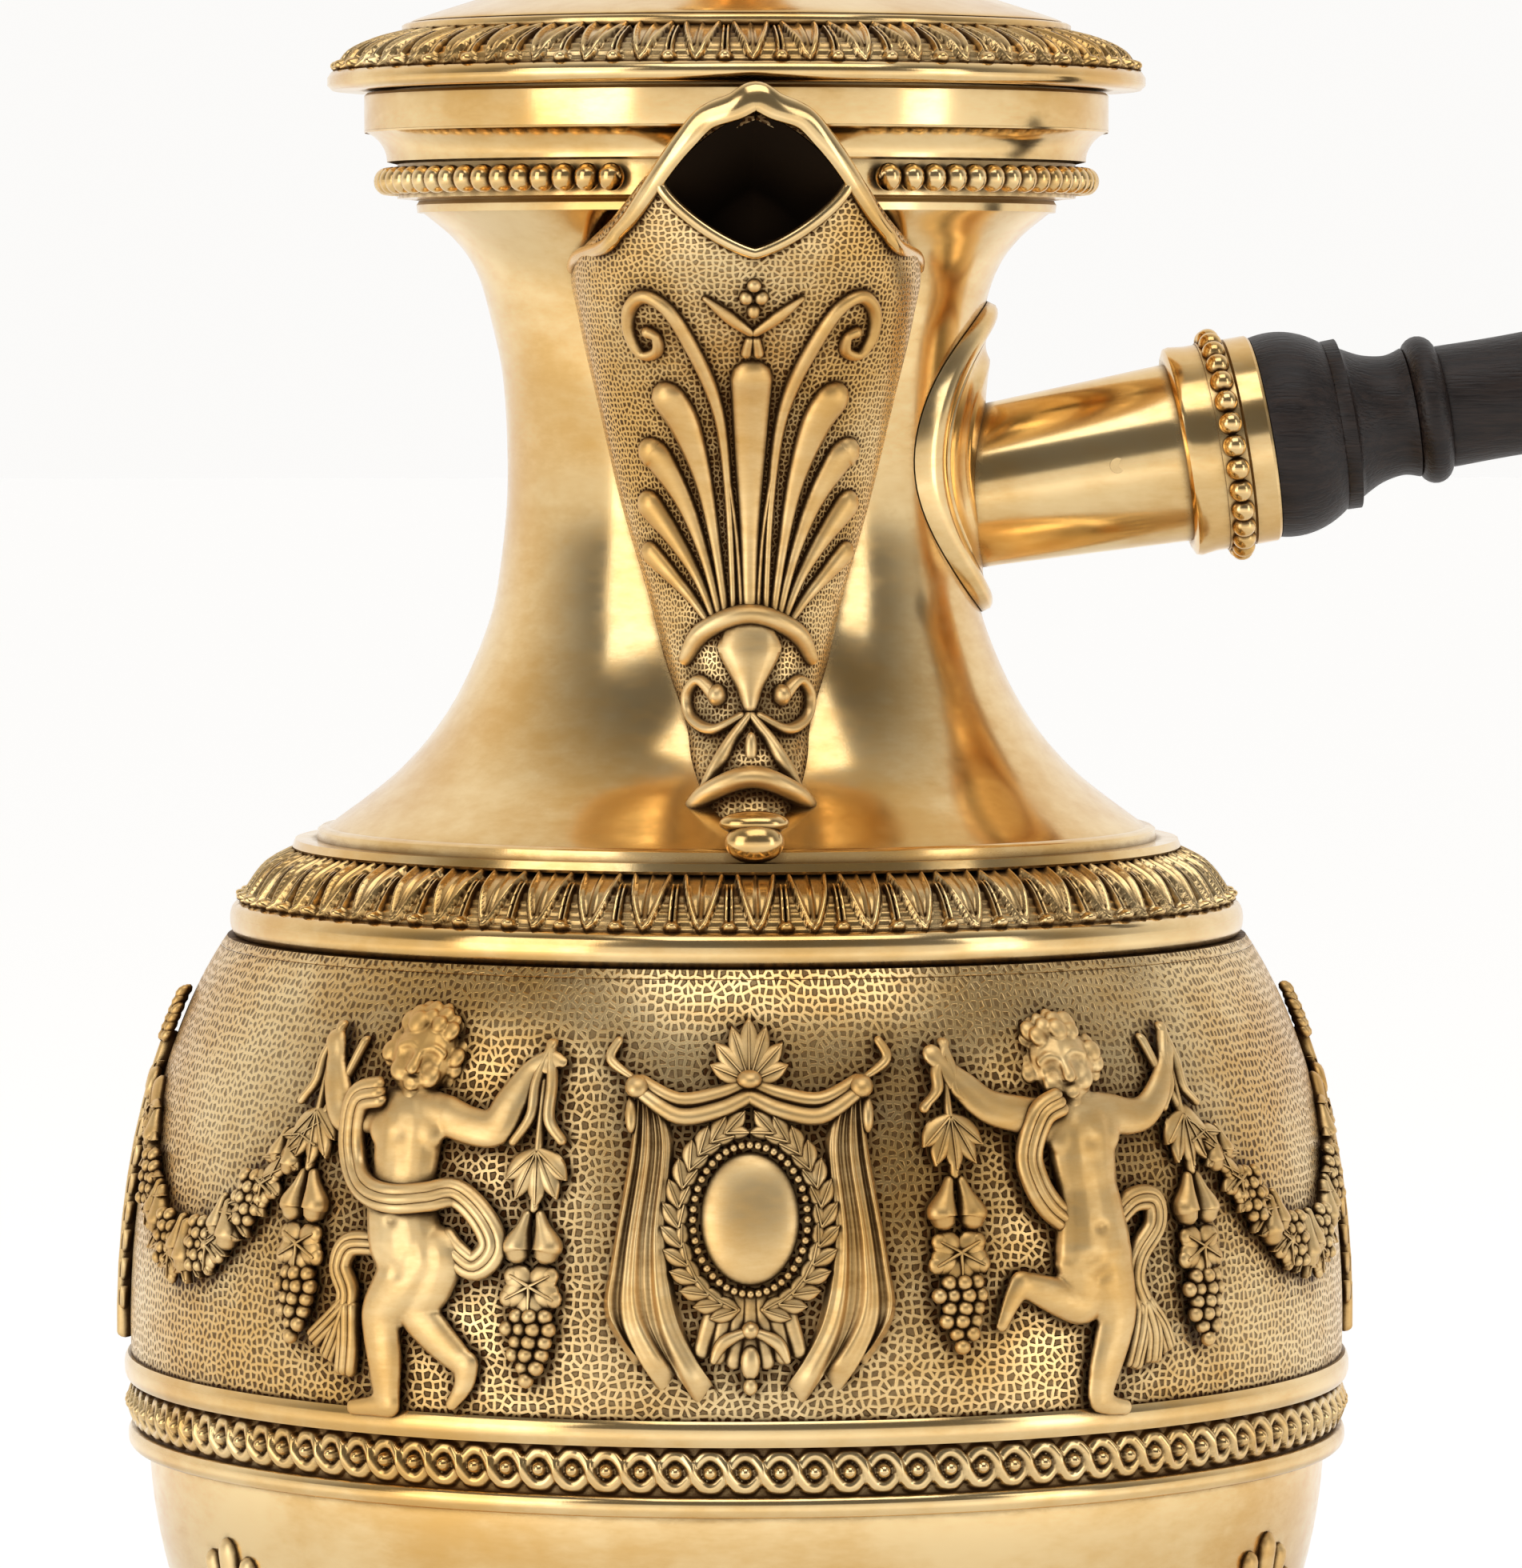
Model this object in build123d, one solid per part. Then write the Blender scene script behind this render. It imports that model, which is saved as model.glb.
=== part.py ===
"""A silver-gilt coffee pot on three paw feet, with a beak spout, a turned ebony side handle and a hinged lid.

Frame: +Z up, the origin on the pot's own axis at table level. The spout points along -Y, the handle along
+X, and the lid's hinge lies at +Y. Millimetres throughout.
"""

from build123d import *
from math import asin, cos, degrees, pi, radians, sin, sqrt
import os

# ---------------------------------------------------------------- driving dimensions
WALL = 1.3  # raised sheet of the vessel

# lower body: the lower quarter of an ellipse
BOWL_BOTTOM_Z = 61.0
BOWL_RADIUS = 62.6
BOWL_DEPTH = 60.0
BOWL_TOP_BELOW_CENTRE = 1.9

# bands round the girdle
LOWER_FILLET_HEIGHT = 2.0
LOWER_FILLET_PROUD = 2.2
GUILLOCHE_HEIGHT = 5.1
GUILLOCHE_PROUD = 2.3
UPPER_FILLET_HEIGHT = 2.6
UPPER_FILLET_PROUD = 2.6

# upper body: an arc of an ellipse about a ring of centres
FRIEZE_HEIGHT = 44.2
FRIEZE_CENTRE_RADIUS = 40.0
FRIEZE_CENTRE_RISE = 3.2
FRIEZE_HALF_WIDTH = 24.5
FRIEZE_HALF_HEIGHT = 50.2

# shoulder
SHOULDER_RIM_HEIGHT = 3.6
SHOULDER_RIM_INSET = 0.3
SHOULDER_BORE = 43.0
SHOULDER_LEAF_HEIGHT = 5.5
STEP_RADIUS = 47.2
STEP_HEIGHT = 1.1
STEP_FILLET_RADIUS = 44.4
STEP_FILLET_HEIGHT = 1.3

# neck
NECK_WALL = 1.2
NECK_FOOT_RADIUS = 43.4
NECK_WAIST_RADIUS = 24.3
NECK_TOP_RADIUS = 33.2
NECK_WAIST_RISE = 36.6
NECK_TOP_RISE = 28.3
NECK_LOWER_SHAPE = ((1.0, 0.0), (0.592, 0.166), (0.309, 0.352), (0.11, 0.582), (0.037, 0.768), (0.0, 1.0))
NECK_UPPER_SHAPE = ((0.045, 0.36), (0.19, 0.597), (0.36, 0.777), (0.618, 0.898), (1.0, 1.0))

# collar
COLLAR_FILLET_PROUD = 0.6
COLLAR_FILLET_HEIGHT = 1.5
BEAD_SEAT_RADIUS = 36.6
BEAD_SEAT_HEIGHT = 3.6
BEAD_PROUD = 1.9
BEAD_HEIGHT = 2.9
CAVETTO_PROUD = 0.7
CAVETTO_HEIGHT = 3.3
COLLAR_RADIUS = 39.4
COLLAR_BAND_HEIGHT = 4.2
MOUTH_BORE = 36.9
COLLAR_LOWER_BORE = 35.2

# lid
SEAT_GAP = 0.3
LIP_RADIUS = 43.3
LIP_HEIGHT = 2.0
LIP_BORE = 34.9
BEZEL_CLEARANCE = 0.5
BEZEL_WALL = 1.1
BEZEL_DEPTH = 4.4
LID_LEAF_HEIGHT = 4.1
LID_LEAF_TOP_RADIUS = 35.4
LID_LEAF_BORE = 32.8
LID_FILLET_HEIGHT = 0.9
LID_FILLET_BORE = 31.5
DOME_EDGE_INSET = 1.2
DOME_EDGE = 0.25
DOME_WALL = 0.8
DOME_RISE = 11.0
DOME_TOP_RADIUS = 6.6

# finial
STUD_RADIUS = 1.8
STUD_LENGTH = 30.0
STUD_CLEARANCE = 0.1
FINIAL_BASE_RADIUS = 6.2
FINIAL_BASE_HEIGHT = 10.0
FINIAL_NECK_RADIUS = 3.1
BUD_RADIUS = 9.3
BUD_HEIGHT = 30.0
WASHER_RADIUS = 5.4
WASHER_THICKNESS = 0.8
NUT_FLATS = 6.4
NUT_HEIGHT = 2.8

# hinge
HINGE_STANDOFF = 2.3
HINGE_RISE = 1.0  # axis above the lid's seat
KNUCKLE_RADIUS = 1.6
KNUCKLE_LENGTH = 5.0
KNUCKLE_GAP = 0.3
HINGE_PIN_RADIUS = 0.7
PIN_CLEARANCE = 0.03
BRACKET_HEIGHT = 3.2

# handle: lengths run along its own axis, from a start point near the neck
HANDLE_TILT = 9.7
HANDLE_START_RADIUS = 27.0
HANDLE_START_Z = 220.6
SOCKET_LENGTH = 20.2
SOCKET_ROOT_RADIUS = 8.6
SOCKET_END_RADIUS = 9.5
SOCKET_BORE = 7.6
SOCKET_COLLAR_RADIUS = 11.2
SOCKET_COLLAR_LENGTH = 3.7
SOCKET_BEAD_RADIUS = 12.45
SOCKET_BEAD_LENGTH = 2.7
FERRULE_RADIUS = 11.05
FERRULE_LENGTH = 2.9
TENON_CLEARANCE = 0.05
TENON_LENGTH = 22.0
BALL_RADIUS = 10.95
BALL_LENGTH = 7.6
STEP_RING_RADIUS = 9.05
STEP_RING_LENGTH = 1.6
CAVETTO_NECK_RADIUS = 6.45
CAVETTO_LENGTH = 6.5
TORUS_RADIUS = 7.85
TORUS_LENGTH = 3.6
GRIP_ROOT_RADIUS = 6.6
GRIP_SWELL_RADIUS = 9.6
GRIP_LENGTH = 74.0
END_BUTTON_RADIUS = 4.2
END_BUTTON_LENGTH = 5.0
HANDLE_PIN_RADIUS = 0.8
HANDLE_PIN_PLACE = 13.0
ESCUTCHEON_RADIUS = 16.5
ESCUTCHEON_THICKNESS = 1.0
ESCUTCHEON_STEP_RADIUS = 13.2
ESCUTCHEON_STEP = 0.9

# spout
SPOUT_WALL = 1.3
SPOUT_FOOT_RISE = 3.0  # above the neck's foot
SPOUT_TIP_DROP = 0.6  # apex below the rim
SPOUT_LIP_RISE = 53.3  # hollow's change from channel to beak, above the spout's foot
# share of the channel's height, half-width, reach of the ridge beyond the neck's waist
CHANNEL_SHAPE = (
    (0.0, 6.0, 16.4), (0.2, 7.6, 9.8), (0.4, 9.9, 8.6), (0.6, 12.9, 8.9), (0.8, 15.0, 12.6), (1.0, 16.2, 20.0)
)
# share of the beak's height, half-width, reach of the ridge beyond the neck's waist
LEAF_FOOT_RISE = 16.5  # spout's leaf ornament, above the spout's foot
LEAF_LOBE_HEIGHT = 27.5
LEAF_THICKNESS = 1.1
BEAK_SHAPE = ((0.35, 12.6, 22.6), (0.62, 9.6, 23.4), (1.0, 1.8, 23.9))
MOUTH_HALF_WIDTH = 8.9
MOUTH_HEIGHT = 13.2
MOUTH_TOP_DROP = 3.4
STRAINER_HOLE_RADIUS = 1.1
STRAINER_PITCH = 3.8
STRAINER_ROWS = 7
DROP_BALL_RADIUS = 2.6
DROP_CAP_RADIUS = 3.6

# legs, each a casting with its paw, and the palmette that covers its root
LEG_ANGLES = {"left": -60.0, "right": 60.0, "back": 180.0}
LEG_TOP_Z = 105.0
LEG_THICKNESS = 8.4
LEG_KNEE_RADIUS = 68.0
LEG_ANKLE_RADIUS = 58.6
PAW_LENGTH = 16.0
PAW_WIDTH = 15.0
PAW_HEIGHT = 10.0
PALMETTE_HEIGHT = 21.0
PALMETTE_HALF_WIDTH = 10.5
PALMETTE_THICKNESS = 1.4

# mounts applied to the frieze
MOUNT_THICKNESS = 1.9
PUTTO_ANGLE = 31.0
DROP_ANGLES = {"inner": 19.4, "outer": 43.2}
DROP_LEVELS = {"inner": 32.8, "outer": 35.0}
SHIELD_HALF_WIDTH = 14.4
SHIELD_HEIGHT = 38.0
STAFF_ANGLE = 84.0
STAFF_LENGTH = 39.0
SWAG_FRUITS = 13
SWAG_START_ANGLE = 45.0
SWAG_RADIUS = 3.4
SWAG_HANG = 29.0
SWAG_FALL = 17.0

# ---------------------------------------------------------------- levels and radii that follow
BOWL_CENTRE_Z = BOWL_BOTTOM_Z + BOWL_DEPTH
GIRDLE_Z = BOWL_CENTRE_Z - BOWL_TOP_BELOW_CENTRE
GIRDLE_RADIUS = BOWL_RADIUS * sqrt(1 - (BOWL_TOP_BELOW_CENTRE / BOWL_DEPTH) ** 2)
GUILLOCHE_Z = GIRDLE_Z + LOWER_FILLET_HEIGHT
UPPER_FILLET_Z = GUILLOCHE_Z + GUILLOCHE_HEIGHT
FRIEZE_Z = UPPER_FILLET_Z + UPPER_FILLET_HEIGHT
FRIEZE_CENTRE_Z = FRIEZE_Z + FRIEZE_CENTRE_RISE
SHOULDER_Z = FRIEZE_Z + FRIEZE_HEIGHT
LEAF_Z = SHOULDER_Z + SHOULDER_RIM_HEIGHT
STEP_Z = LEAF_Z + SHOULDER_LEAF_HEIGHT
NECK_Z = STEP_Z + STEP_HEIGHT + STEP_FILLET_HEIGHT
NECK_WAIST_Z = NECK_Z + NECK_WAIST_RISE
COLLAR_Z = NECK_WAIST_Z + NECK_TOP_RISE
BEAD_Z = COLLAR_Z + COLLAR_FILLET_HEIGHT
CAVETTO_Z = BEAD_Z + BEAD_SEAT_HEIGHT
BAND_Z = CAVETTO_Z + CAVETTO_HEIGHT
RIM_Z = BAND_Z + COLLAR_BAND_HEIGHT
LIP_Z = RIM_Z + SEAT_GAP
LID_LEAF_Z = LIP_Z + LIP_HEIGHT
LID_FILLET_Z = LID_LEAF_Z + LID_LEAF_HEIGHT
DOME_Z = LID_FILLET_Z + LID_FILLET_HEIGHT
FINIAL_Z = DOME_Z + DOME_RISE
BUD_Z = FINIAL_Z + FINIAL_BASE_HEIGHT
HINGE_Y = LIP_RADIUS + HINGE_STANDOFF
HINGE_Z = LIP_Z + HINGE_RISE


def frieze_radius(z):
    """Outside radius of the upper body at a height."""
    rise = (z - FRIEZE_CENTRE_Z) / FRIEZE_HALF_HEIGHT
    return FRIEZE_CENTRE_RADIUS + FRIEZE_HALF_WIDTH * sqrt(1 - rise**2)


SHOULDER_RADIUS = frieze_radius(SHOULDER_Z) - SHOULDER_RIM_INSET


# ---------------------------------------------------------------- helpers
def outline(*runs):
    """A face of radius and height, from lists of corner points and from curves, joined end to end."""
    edges = []
    for run in runs:
        edges += (Polyline(*run) if isinstance(run, list) else run).edges()
    return make_face(edges)


def turned(*runs):
    """A solid turned about the pot's axis."""
    return revolve(Plane.XZ * outline(*runs), Axis.Z)


def ring(bore, radius, low, high, edge=0.0):
    """A plain turned ring, its outer corners rounded by edge."""
    section = Pos((bore + radius) / 2, (low + high) / 2) * Rectangle(radius - bore, high - low)
    if edge:
        section = fillet(section.vertices().group_by(Axis.X)[-1], edge)
    return revolve(Plane.XZ * section, Axis.Z)


def at_angle(angle):
    """Turns a piece made at the spout's side (-Y) round the pot, anticlockwise seen from above."""
    return Rot(0, 0, angle)


def save(name, *shapes):
    """Writes one node, a group as separate solids."""
    solids = [solid for shape in shapes for solid in shape.solids()]
    export_step(solids[0] if len(solids) == 1 else Compound(children=solids), f"parts/{name}.step")


os.makedirs("parts", exist_ok=True)


# ---------------------------------------------------------------- vessel
def bowl_arc(wall):
    """The lower body's ellipse, drawn in by a wall, from its lowest point up to the girdle."""
    top = degrees(asin(-BOWL_TOP_BELOW_CENTRE / (BOWL_DEPTH - wall)))
    return EllipticalCenterArc(
        (0, BOWL_CENTRE_Z), BOWL_RADIUS - wall, BOWL_DEPTH - wall, start_angle=-90, arc_size=top + 90
    )


def frieze_arc(proud, low, high):
    """The upper body's ellipse, moved outwards by proud, between two heights."""
    start, end = [degrees(asin((z - FRIEZE_CENTRE_Z) / FRIEZE_HALF_HEIGHT)) for z in (low, high)]
    centre = (FRIEZE_CENTRE_RADIUS + proud, FRIEZE_CENTRE_Z)
    return EllipticalCenterArc(
        centre, FRIEZE_HALF_WIDTH, FRIEZE_HALF_HEIGHT, start_angle=start, arc_size=end - start
    )


def neck_curve(proud):
    """The neck's trumpet outline, moved outwards by proud."""
    foot_flare = NECK_FOOT_RADIUS - NECK_WAIST_RADIUS
    top_flare = NECK_TOP_RADIUS - NECK_WAIST_RADIUS
    waist = NECK_WAIST_RADIUS + proud
    points = [(waist + foot_flare * out, NECK_Z + NECK_WAIST_RISE * up) for out, up in NECK_LOWER_SHAPE]
    points += [(waist + top_flare * out, NECK_WAIST_Z + NECK_TOP_RISE * up) for out, up in NECK_UPPER_SHAPE]
    return Spline(*points)


def bowl_block(wall, top):
    """The lower body as if solid, drawn in by a wall and carried up as a drum."""
    arc = bowl_arc(wall)
    return turned(arc, [arc @ 1, ((arc @ 1).X, top), (0, top), (0, BOWL_BOTTOM_Z + wall), arc @ 0])


bowl_core = bowl_block(0, UPPER_FILLET_Z)
body_lower = bowl_core - bowl_block(WALL, FRIEZE_Z)
save("body_lower", body_lower)

frieze_outside = frieze_arc(0, FRIEZE_Z, SHOULDER_Z)
frieze_inside = frieze_arc(-WALL, FRIEZE_Z + WALL, SHOULDER_Z)
inside_foot = (GIRDLE_RADIUS - WALL, FRIEZE_Z)
body_upper = turned(
    [inside_foot, (GIRDLE_RADIUS - WALL, UPPER_FILLET_Z), (GIRDLE_RADIUS, UPPER_FILLET_Z), (GIRDLE_RADIUS, FRIEZE_Z),
     frieze_outside @ 0],
    frieze_outside,
    [frieze_outside @ 1, frieze_inside @ 1],
    frieze_inside,
    [frieze_inside @ 0, inside_foot],
)
save("body_upper", body_upper)

save("lower_fillet", ring(GIRDLE_RADIUS, GIRDLE_RADIUS + LOWER_FILLET_PROUD, GIRDLE_Z, GUILLOCHE_Z, edge=0.4))
save("guilloche_band", ring(GIRDLE_RADIUS, GIRDLE_RADIUS + GUILLOCHE_PROUD, GUILLOCHE_Z, UPPER_FILLET_Z))
save("upper_fillet", ring(GIRDLE_RADIUS, GIRDLE_RADIUS + UPPER_FILLET_PROUD, UPPER_FILLET_Z, FRIEZE_Z, edge=0.7))

# ---------------------------------------------------------------- shoulder, neck and collar
save("shoulder_rim", ring(SHOULDER_BORE, SHOULDER_RADIUS, SHOULDER_Z, LEAF_Z, edge=1.5))

leaf_foot = SHOULDER_RADIUS - 0.9
leaf_outline = ThreePointArc(
    (leaf_foot, LEAF_Z + 0.4),
    ((leaf_foot + STEP_RADIUS) / 2 + 0.8, LEAF_Z + SHOULDER_LEAF_HEIGHT * 0.6),
    (STEP_RADIUS + 0.1, STEP_Z),
)
save(
    "shoulder_leaf_border",
    turned([(STEP_RADIUS + 0.1, STEP_Z), (SHOULDER_BORE, STEP_Z), (SHOULDER_BORE, LEAF_Z), (leaf_foot, LEAF_Z),
            leaf_outline @ 0], leaf_outline),
)

NECK_BORE = NECK_FOOT_RADIUS - NECK_WALL
save(
    "neck_foot_ring",
    ring(NECK_BORE, STEP_RADIUS, STEP_Z, STEP_Z + STEP_HEIGHT, edge=0.3)
    + ring(NECK_BORE, STEP_FILLET_RADIUS, STEP_Z + STEP_HEIGHT, NECK_Z, edge=0.3),
)

neck_outside, neck_inside = neck_curve(0), neck_curve(-NECK_WALL)
neck = turned(neck_outside, [neck_outside @ 1, neck_inside @ 1], neck_inside, [neck_inside @ 0, neck_outside @ 0])

SPOUT_Z = NECK_Z + SPOUT_FOOT_RISE
SPOUT_LIP_Z = SPOUT_Z + SPOUT_LIP_RISE
SPOUT_TIP_Z = RIM_Z - SPOUT_TIP_DROP
strainer = []
for row in range(STRAINER_ROWS):
    for place in range(-1 - row % 2, 2, 1):
        x = STRAINER_PITCH * (place + 0.5 * (row % 2))
        z = SPOUT_LIP_Z - STRAINER_PITCH * (row + 2)
        strainer.append(Pos(x, -NECK_WAIST_RADIUS, z) * Rot(90, 0, 0) * Cylinder(STRAINER_HOLE_RADIUS, NECK_WAIST_RADIUS))
save("neck", neck - strainer)

COLLAR_FILLET_RADIUS = NECK_TOP_RADIUS + COLLAR_FILLET_PROUD
CAVETTO_FOOT = BEAD_SEAT_RADIUS + CAVETTO_PROUD
cavetto = ThreePointArc(
    (CAVETTO_FOOT, CAVETTO_Z),
    (CAVETTO_FOOT + 0.25 * (COLLAR_RADIUS - CAVETTO_FOOT), CAVETTO_Z + CAVETTO_HEIGHT * 0.6),
    (COLLAR_RADIUS, BAND_Z),
)
neck_top_bore = NECK_TOP_RADIUS - NECK_WALL
save(
    "collar",
    turned(
        [(neck_top_bore, COLLAR_Z), (COLLAR_FILLET_RADIUS, COLLAR_Z), (COLLAR_FILLET_RADIUS, BEAD_Z - 0.6),
         (BEAD_SEAT_RADIUS, BEAD_Z), (BEAD_SEAT_RADIUS, CAVETTO_Z), (CAVETTO_FOOT, CAVETTO_Z)],
        cavetto,
        [(COLLAR_RADIUS, BAND_Z), (COLLAR_RADIUS, RIM_Z), (MOUTH_BORE, RIM_Z), (MOUTH_BORE, BAND_Z - 1.2),
         (COLLAR_LOWER_BORE, BAND_Z - 2.2), (COLLAR_LOWER_BORE, BEAD_Z + 0.9), (neck_top_bore, COLLAR_Z)],
    ),
)
bead_low = BEAD_Z + (BEAD_SEAT_HEIGHT - BEAD_HEIGHT) / 2
bead_solid = ring(BEAD_SEAT_RADIUS, BEAD_SEAT_RADIUS + BEAD_PROUD, bead_low, bead_low + BEAD_HEIGHT, edge=0.9)
neck_core = turned([(0, COLLAR_Z), (0, NECK_Z), neck_outside @ 0], neck_outside, [neck_outside @ 1, (0, COLLAR_Z)])
collar_core = turned(
    [(0, COLLAR_Z), (COLLAR_FILLET_RADIUS, COLLAR_Z), (COLLAR_FILLET_RADIUS, BEAD_Z - 0.6), (BEAD_SEAT_RADIUS, BEAD_Z),
     (BEAD_SEAT_RADIUS, CAVETTO_Z), (CAVETTO_FOOT, CAVETTO_Z)],
    cavetto,
    [(COLLAR_RADIUS, BAND_Z), (COLLAR_RADIUS, RIM_Z), (0, RIM_Z), (0, COLLAR_Z)],
)


# ---------------------------------------------------------------- spout
def spout_section(z, half_width, reach, wall):
    """One level of the spout: a round ridge in front of a flat back that lies inside the neck."""
    width, ridge = half_width - wall, NECK_WAIST_RADIUS + reach - wall
    back = NECK_WAIST_RADIUS * 0.75
    shoulder_y = back + (ridge - back) * 0.45
    face = make_face(
        Polyline((-width, -shoulder_y), (-width, -back), (width, -back), (width, -shoulder_y)).edges()
        + Spline((width, -shoulder_y), (width * 0.62, -(ridge - (ridge - shoulder_y) * 0.24)), (0, -ridge),
                 (-width * 0.62, -(ridge - (ridge - shoulder_y) * 0.24)), (-width, -shoulder_y)).edges()
    )
    return Pos(0, 0, z) * face


def spout_block(wall):
    """The spout's whole form, or its hollow when wall is not nothing."""
    lift = wall * 2.2
    channel = [
        (SPOUT_Z + lift + (SPOUT_LIP_RISE - lift) * up, half_width, reach)
        for up, half_width, reach in CHANNEL_SHAPE
    ]
    rise = SPOUT_TIP_Z - wall - SPOUT_LIP_Z
    beak = [
        (SPOUT_LIP_Z + rise * up, half_width + wall * 0.5 * up, reach) for up, half_width, reach in BEAK_SHAPE
    ]
    return loft([spout_section(z, half_width, reach, wall) for z, half_width, reach in channel + beak])


mouth_top = SPOUT_TIP_Z - MOUTH_TOP_DROP
mouth_middle = mouth_top - MOUTH_HEIGHT * 0.48
mouth = Polyline((0, mouth_top), (MOUTH_HALF_WIDTH, mouth_middle), (0, mouth_top - MOUTH_HEIGHT),
                 (-MOUTH_HALF_WIDTH, mouth_middle), close=True)
mouth_cutter = extrude(Plane.XZ.offset(COLLAR_RADIUS + 1) * make_face(mouth.edges()), LIP_RADIUS)
spout_form = spout_block(0)
spout_shell = spout_form - spout_block(SPOUT_WALL) - neck_core - collar_core - bead_solid - mouth_cutter
spout_shell = max(spout_shell.solids(), key=lambda solid: solid.volume)
save("spout", spout_shell)
save("collar_bead_ring", max((bead_solid - spout_form).solids(), key=lambda solid: solid.volume))


def ridge_run(*joints):
    """A flat outline: the hull of each pair of round joints in turn, each joint x, y and radius."""
    shape = Sketch()
    for a, b in zip(joints, joints[1:]):
        circles = [(Pos(x, y) * Circle(r)).edges() for x, y, r in (a, b)]
        shape += make_hull(circles[0] + circles[1])
    return shape


def facing(sketch, level):
    """A sketch stood up at the spout's side, its origin at a level, and driven through the wall."""
    return extrude(Plane.XZ.offset(NECK_WAIST_RADIUS / 2) * Pos(0, level) * sketch, 2 * GIRDLE_RADIUS)


# the leaf ornament up the spout's ridge: a centre lobe, leaves in pairs and a scroll pair over them
anthemion = ridge_run((0, 0, 2.4), (0, LEAF_LOBE_HEIGHT * 0.6, 1.5), (0, LEAF_LOBE_HEIGHT, 2.4))
anthemion += ridge_run((0, 0, 4.6), (0, -LEAF_FOOT_RISE * 0.5, 3.4), (0, -LEAF_FOOT_RISE * 0.9, 3.8))
for rise, spread in ((8.0, 7.6), (13.0, 8.6), (19.0, 9.0), (24.5, 8.0), (32.5, 9.6)):
    for side in (-1, 1):
        anthemion += ridge_run((side * 1.0, rise * 0.15, 0.8), (side * spread * 0.45, rise * 0.62, 1.0),
                               (side * spread, rise, 1.7))
ornament = (spout_block(-LEAF_THICKNESS) - spout_form - neck_core) & facing(anthemion, SPOUT_Z + LEAF_FOOT_RISE)
save("spout_anthemion", max(ornament.solids(), key=lambda solid: solid.volume))

drop_y = -(NECK_FOOT_RADIUS - 1.6)
drop_z = NECK_Z + DROP_BALL_RADIUS + 0.2
drop = Pos(0, drop_y, drop_z) * Sphere(DROP_BALL_RADIUS)
drop += Pos(0, drop_y + 2.4, drop_z + 3.0) * Sphere(DROP_CAP_RADIUS)
drop = drop - neck_core - spout_form - spout_block(-LEAF_THICKNESS)
save("spout_drop", max(drop.solids(), key=lambda solid: solid.volume))

# ---------------------------------------------------------------- handle
tilt = radians(HANDLE_TILT)
handle_place = Plane(
    origin=(HANDLE_START_RADIUS, 0, HANDLE_START_Z), x_dir=(0, 1, 0), z_dir=(cos(tilt), 0, sin(tilt))
).location
SOCKET_END = SOCKET_LENGTH + SOCKET_COLLAR_LENGTH + SOCKET_BEAD_LENGTH + FERRULE_LENGTH
SOCKET_START = -HANDLE_START_RADIUS / 2


def handle_ring(start, length, radius, edge):
    """A ring round the socket's drum."""
    return handle_place * ring(SOCKET_END_RADIUS, radius, start, start + length, edge)


socket_slope = (SOCKET_END_RADIUS - SOCKET_ROOT_RADIUS) / SOCKET_LENGTH
pin_half_length = SOCKET_ROOT_RADIUS + socket_slope * HANDLE_PIN_PLACE
pin_place = handle_place * Pos(0, 0, HANDLE_PIN_PLACE) * Rot(0, 90, 0)
handle_pin = pin_place * Cylinder(HANDLE_PIN_RADIUS, 2 * pin_half_length)
socket_block = handle_place * turned(
    [(0, SOCKET_START), (SOCKET_ROOT_RADIUS + socket_slope * SOCKET_START, SOCKET_START), (SOCKET_END_RADIUS, SOCKET_LENGTH),
     (SOCKET_END_RADIUS, SOCKET_END), (0, SOCKET_END), (0, SOCKET_START)]
)
socket_hollow = Cylinder(SOCKET_BORE, SOCKET_END - SOCKET_START)
socket_hollow = handle_place * Pos(0, 0, (SOCKET_START + SOCKET_END) / 2) * socket_hollow
socket = socket_block - socket_hollow - neck_core - handle_pin
save("handle_socket", max(socket.solids(), key=lambda solid: solid.volume))
save("handle_pin", handle_pin)
save("socket_collar", handle_ring(SOCKET_LENGTH, SOCKET_COLLAR_LENGTH, SOCKET_COLLAR_RADIUS, 0.5))
bead_start = SOCKET_LENGTH + SOCKET_COLLAR_LENGTH
save("socket_bead_ring", handle_ring(bead_start, SOCKET_BEAD_LENGTH, SOCKET_BEAD_RADIUS, 1.0))
save("handle_ferrule", handle_ring(bead_start + SOCKET_BEAD_LENGTH, FERRULE_LENGTH, FERRULE_RADIUS, 0.5))


def neck_plate(radius, thickness):
    """A round plate wrapped on the neck at the handle's root."""
    outer = neck_curve(thickness)
    jacket = turned([(0, COLLAR_Z), (0, NECK_Z), outer @ 0], outer, [outer @ 1, (0, COLLAR_Z)])
    middle = Pos(NECK_WAIST_RADIUS, 0, HANDLE_START_Z) * Rot(0, 90, 0) * Cylinder(radius, NECK_FOOT_RADIUS)
    return (jacket & middle) - neck_core


plate = neck_plate(ESCUTCHEON_RADIUS, ESCUTCHEON_THICKNESS)
plate += neck_plate(ESCUTCHEON_STEP_RADIUS, ESCUTCHEON_THICKNESS + ESCUTCHEON_STEP)
save("handle_escutcheon", max((plate - socket_block).solids(), key=lambda solid: solid.volume))

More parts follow.
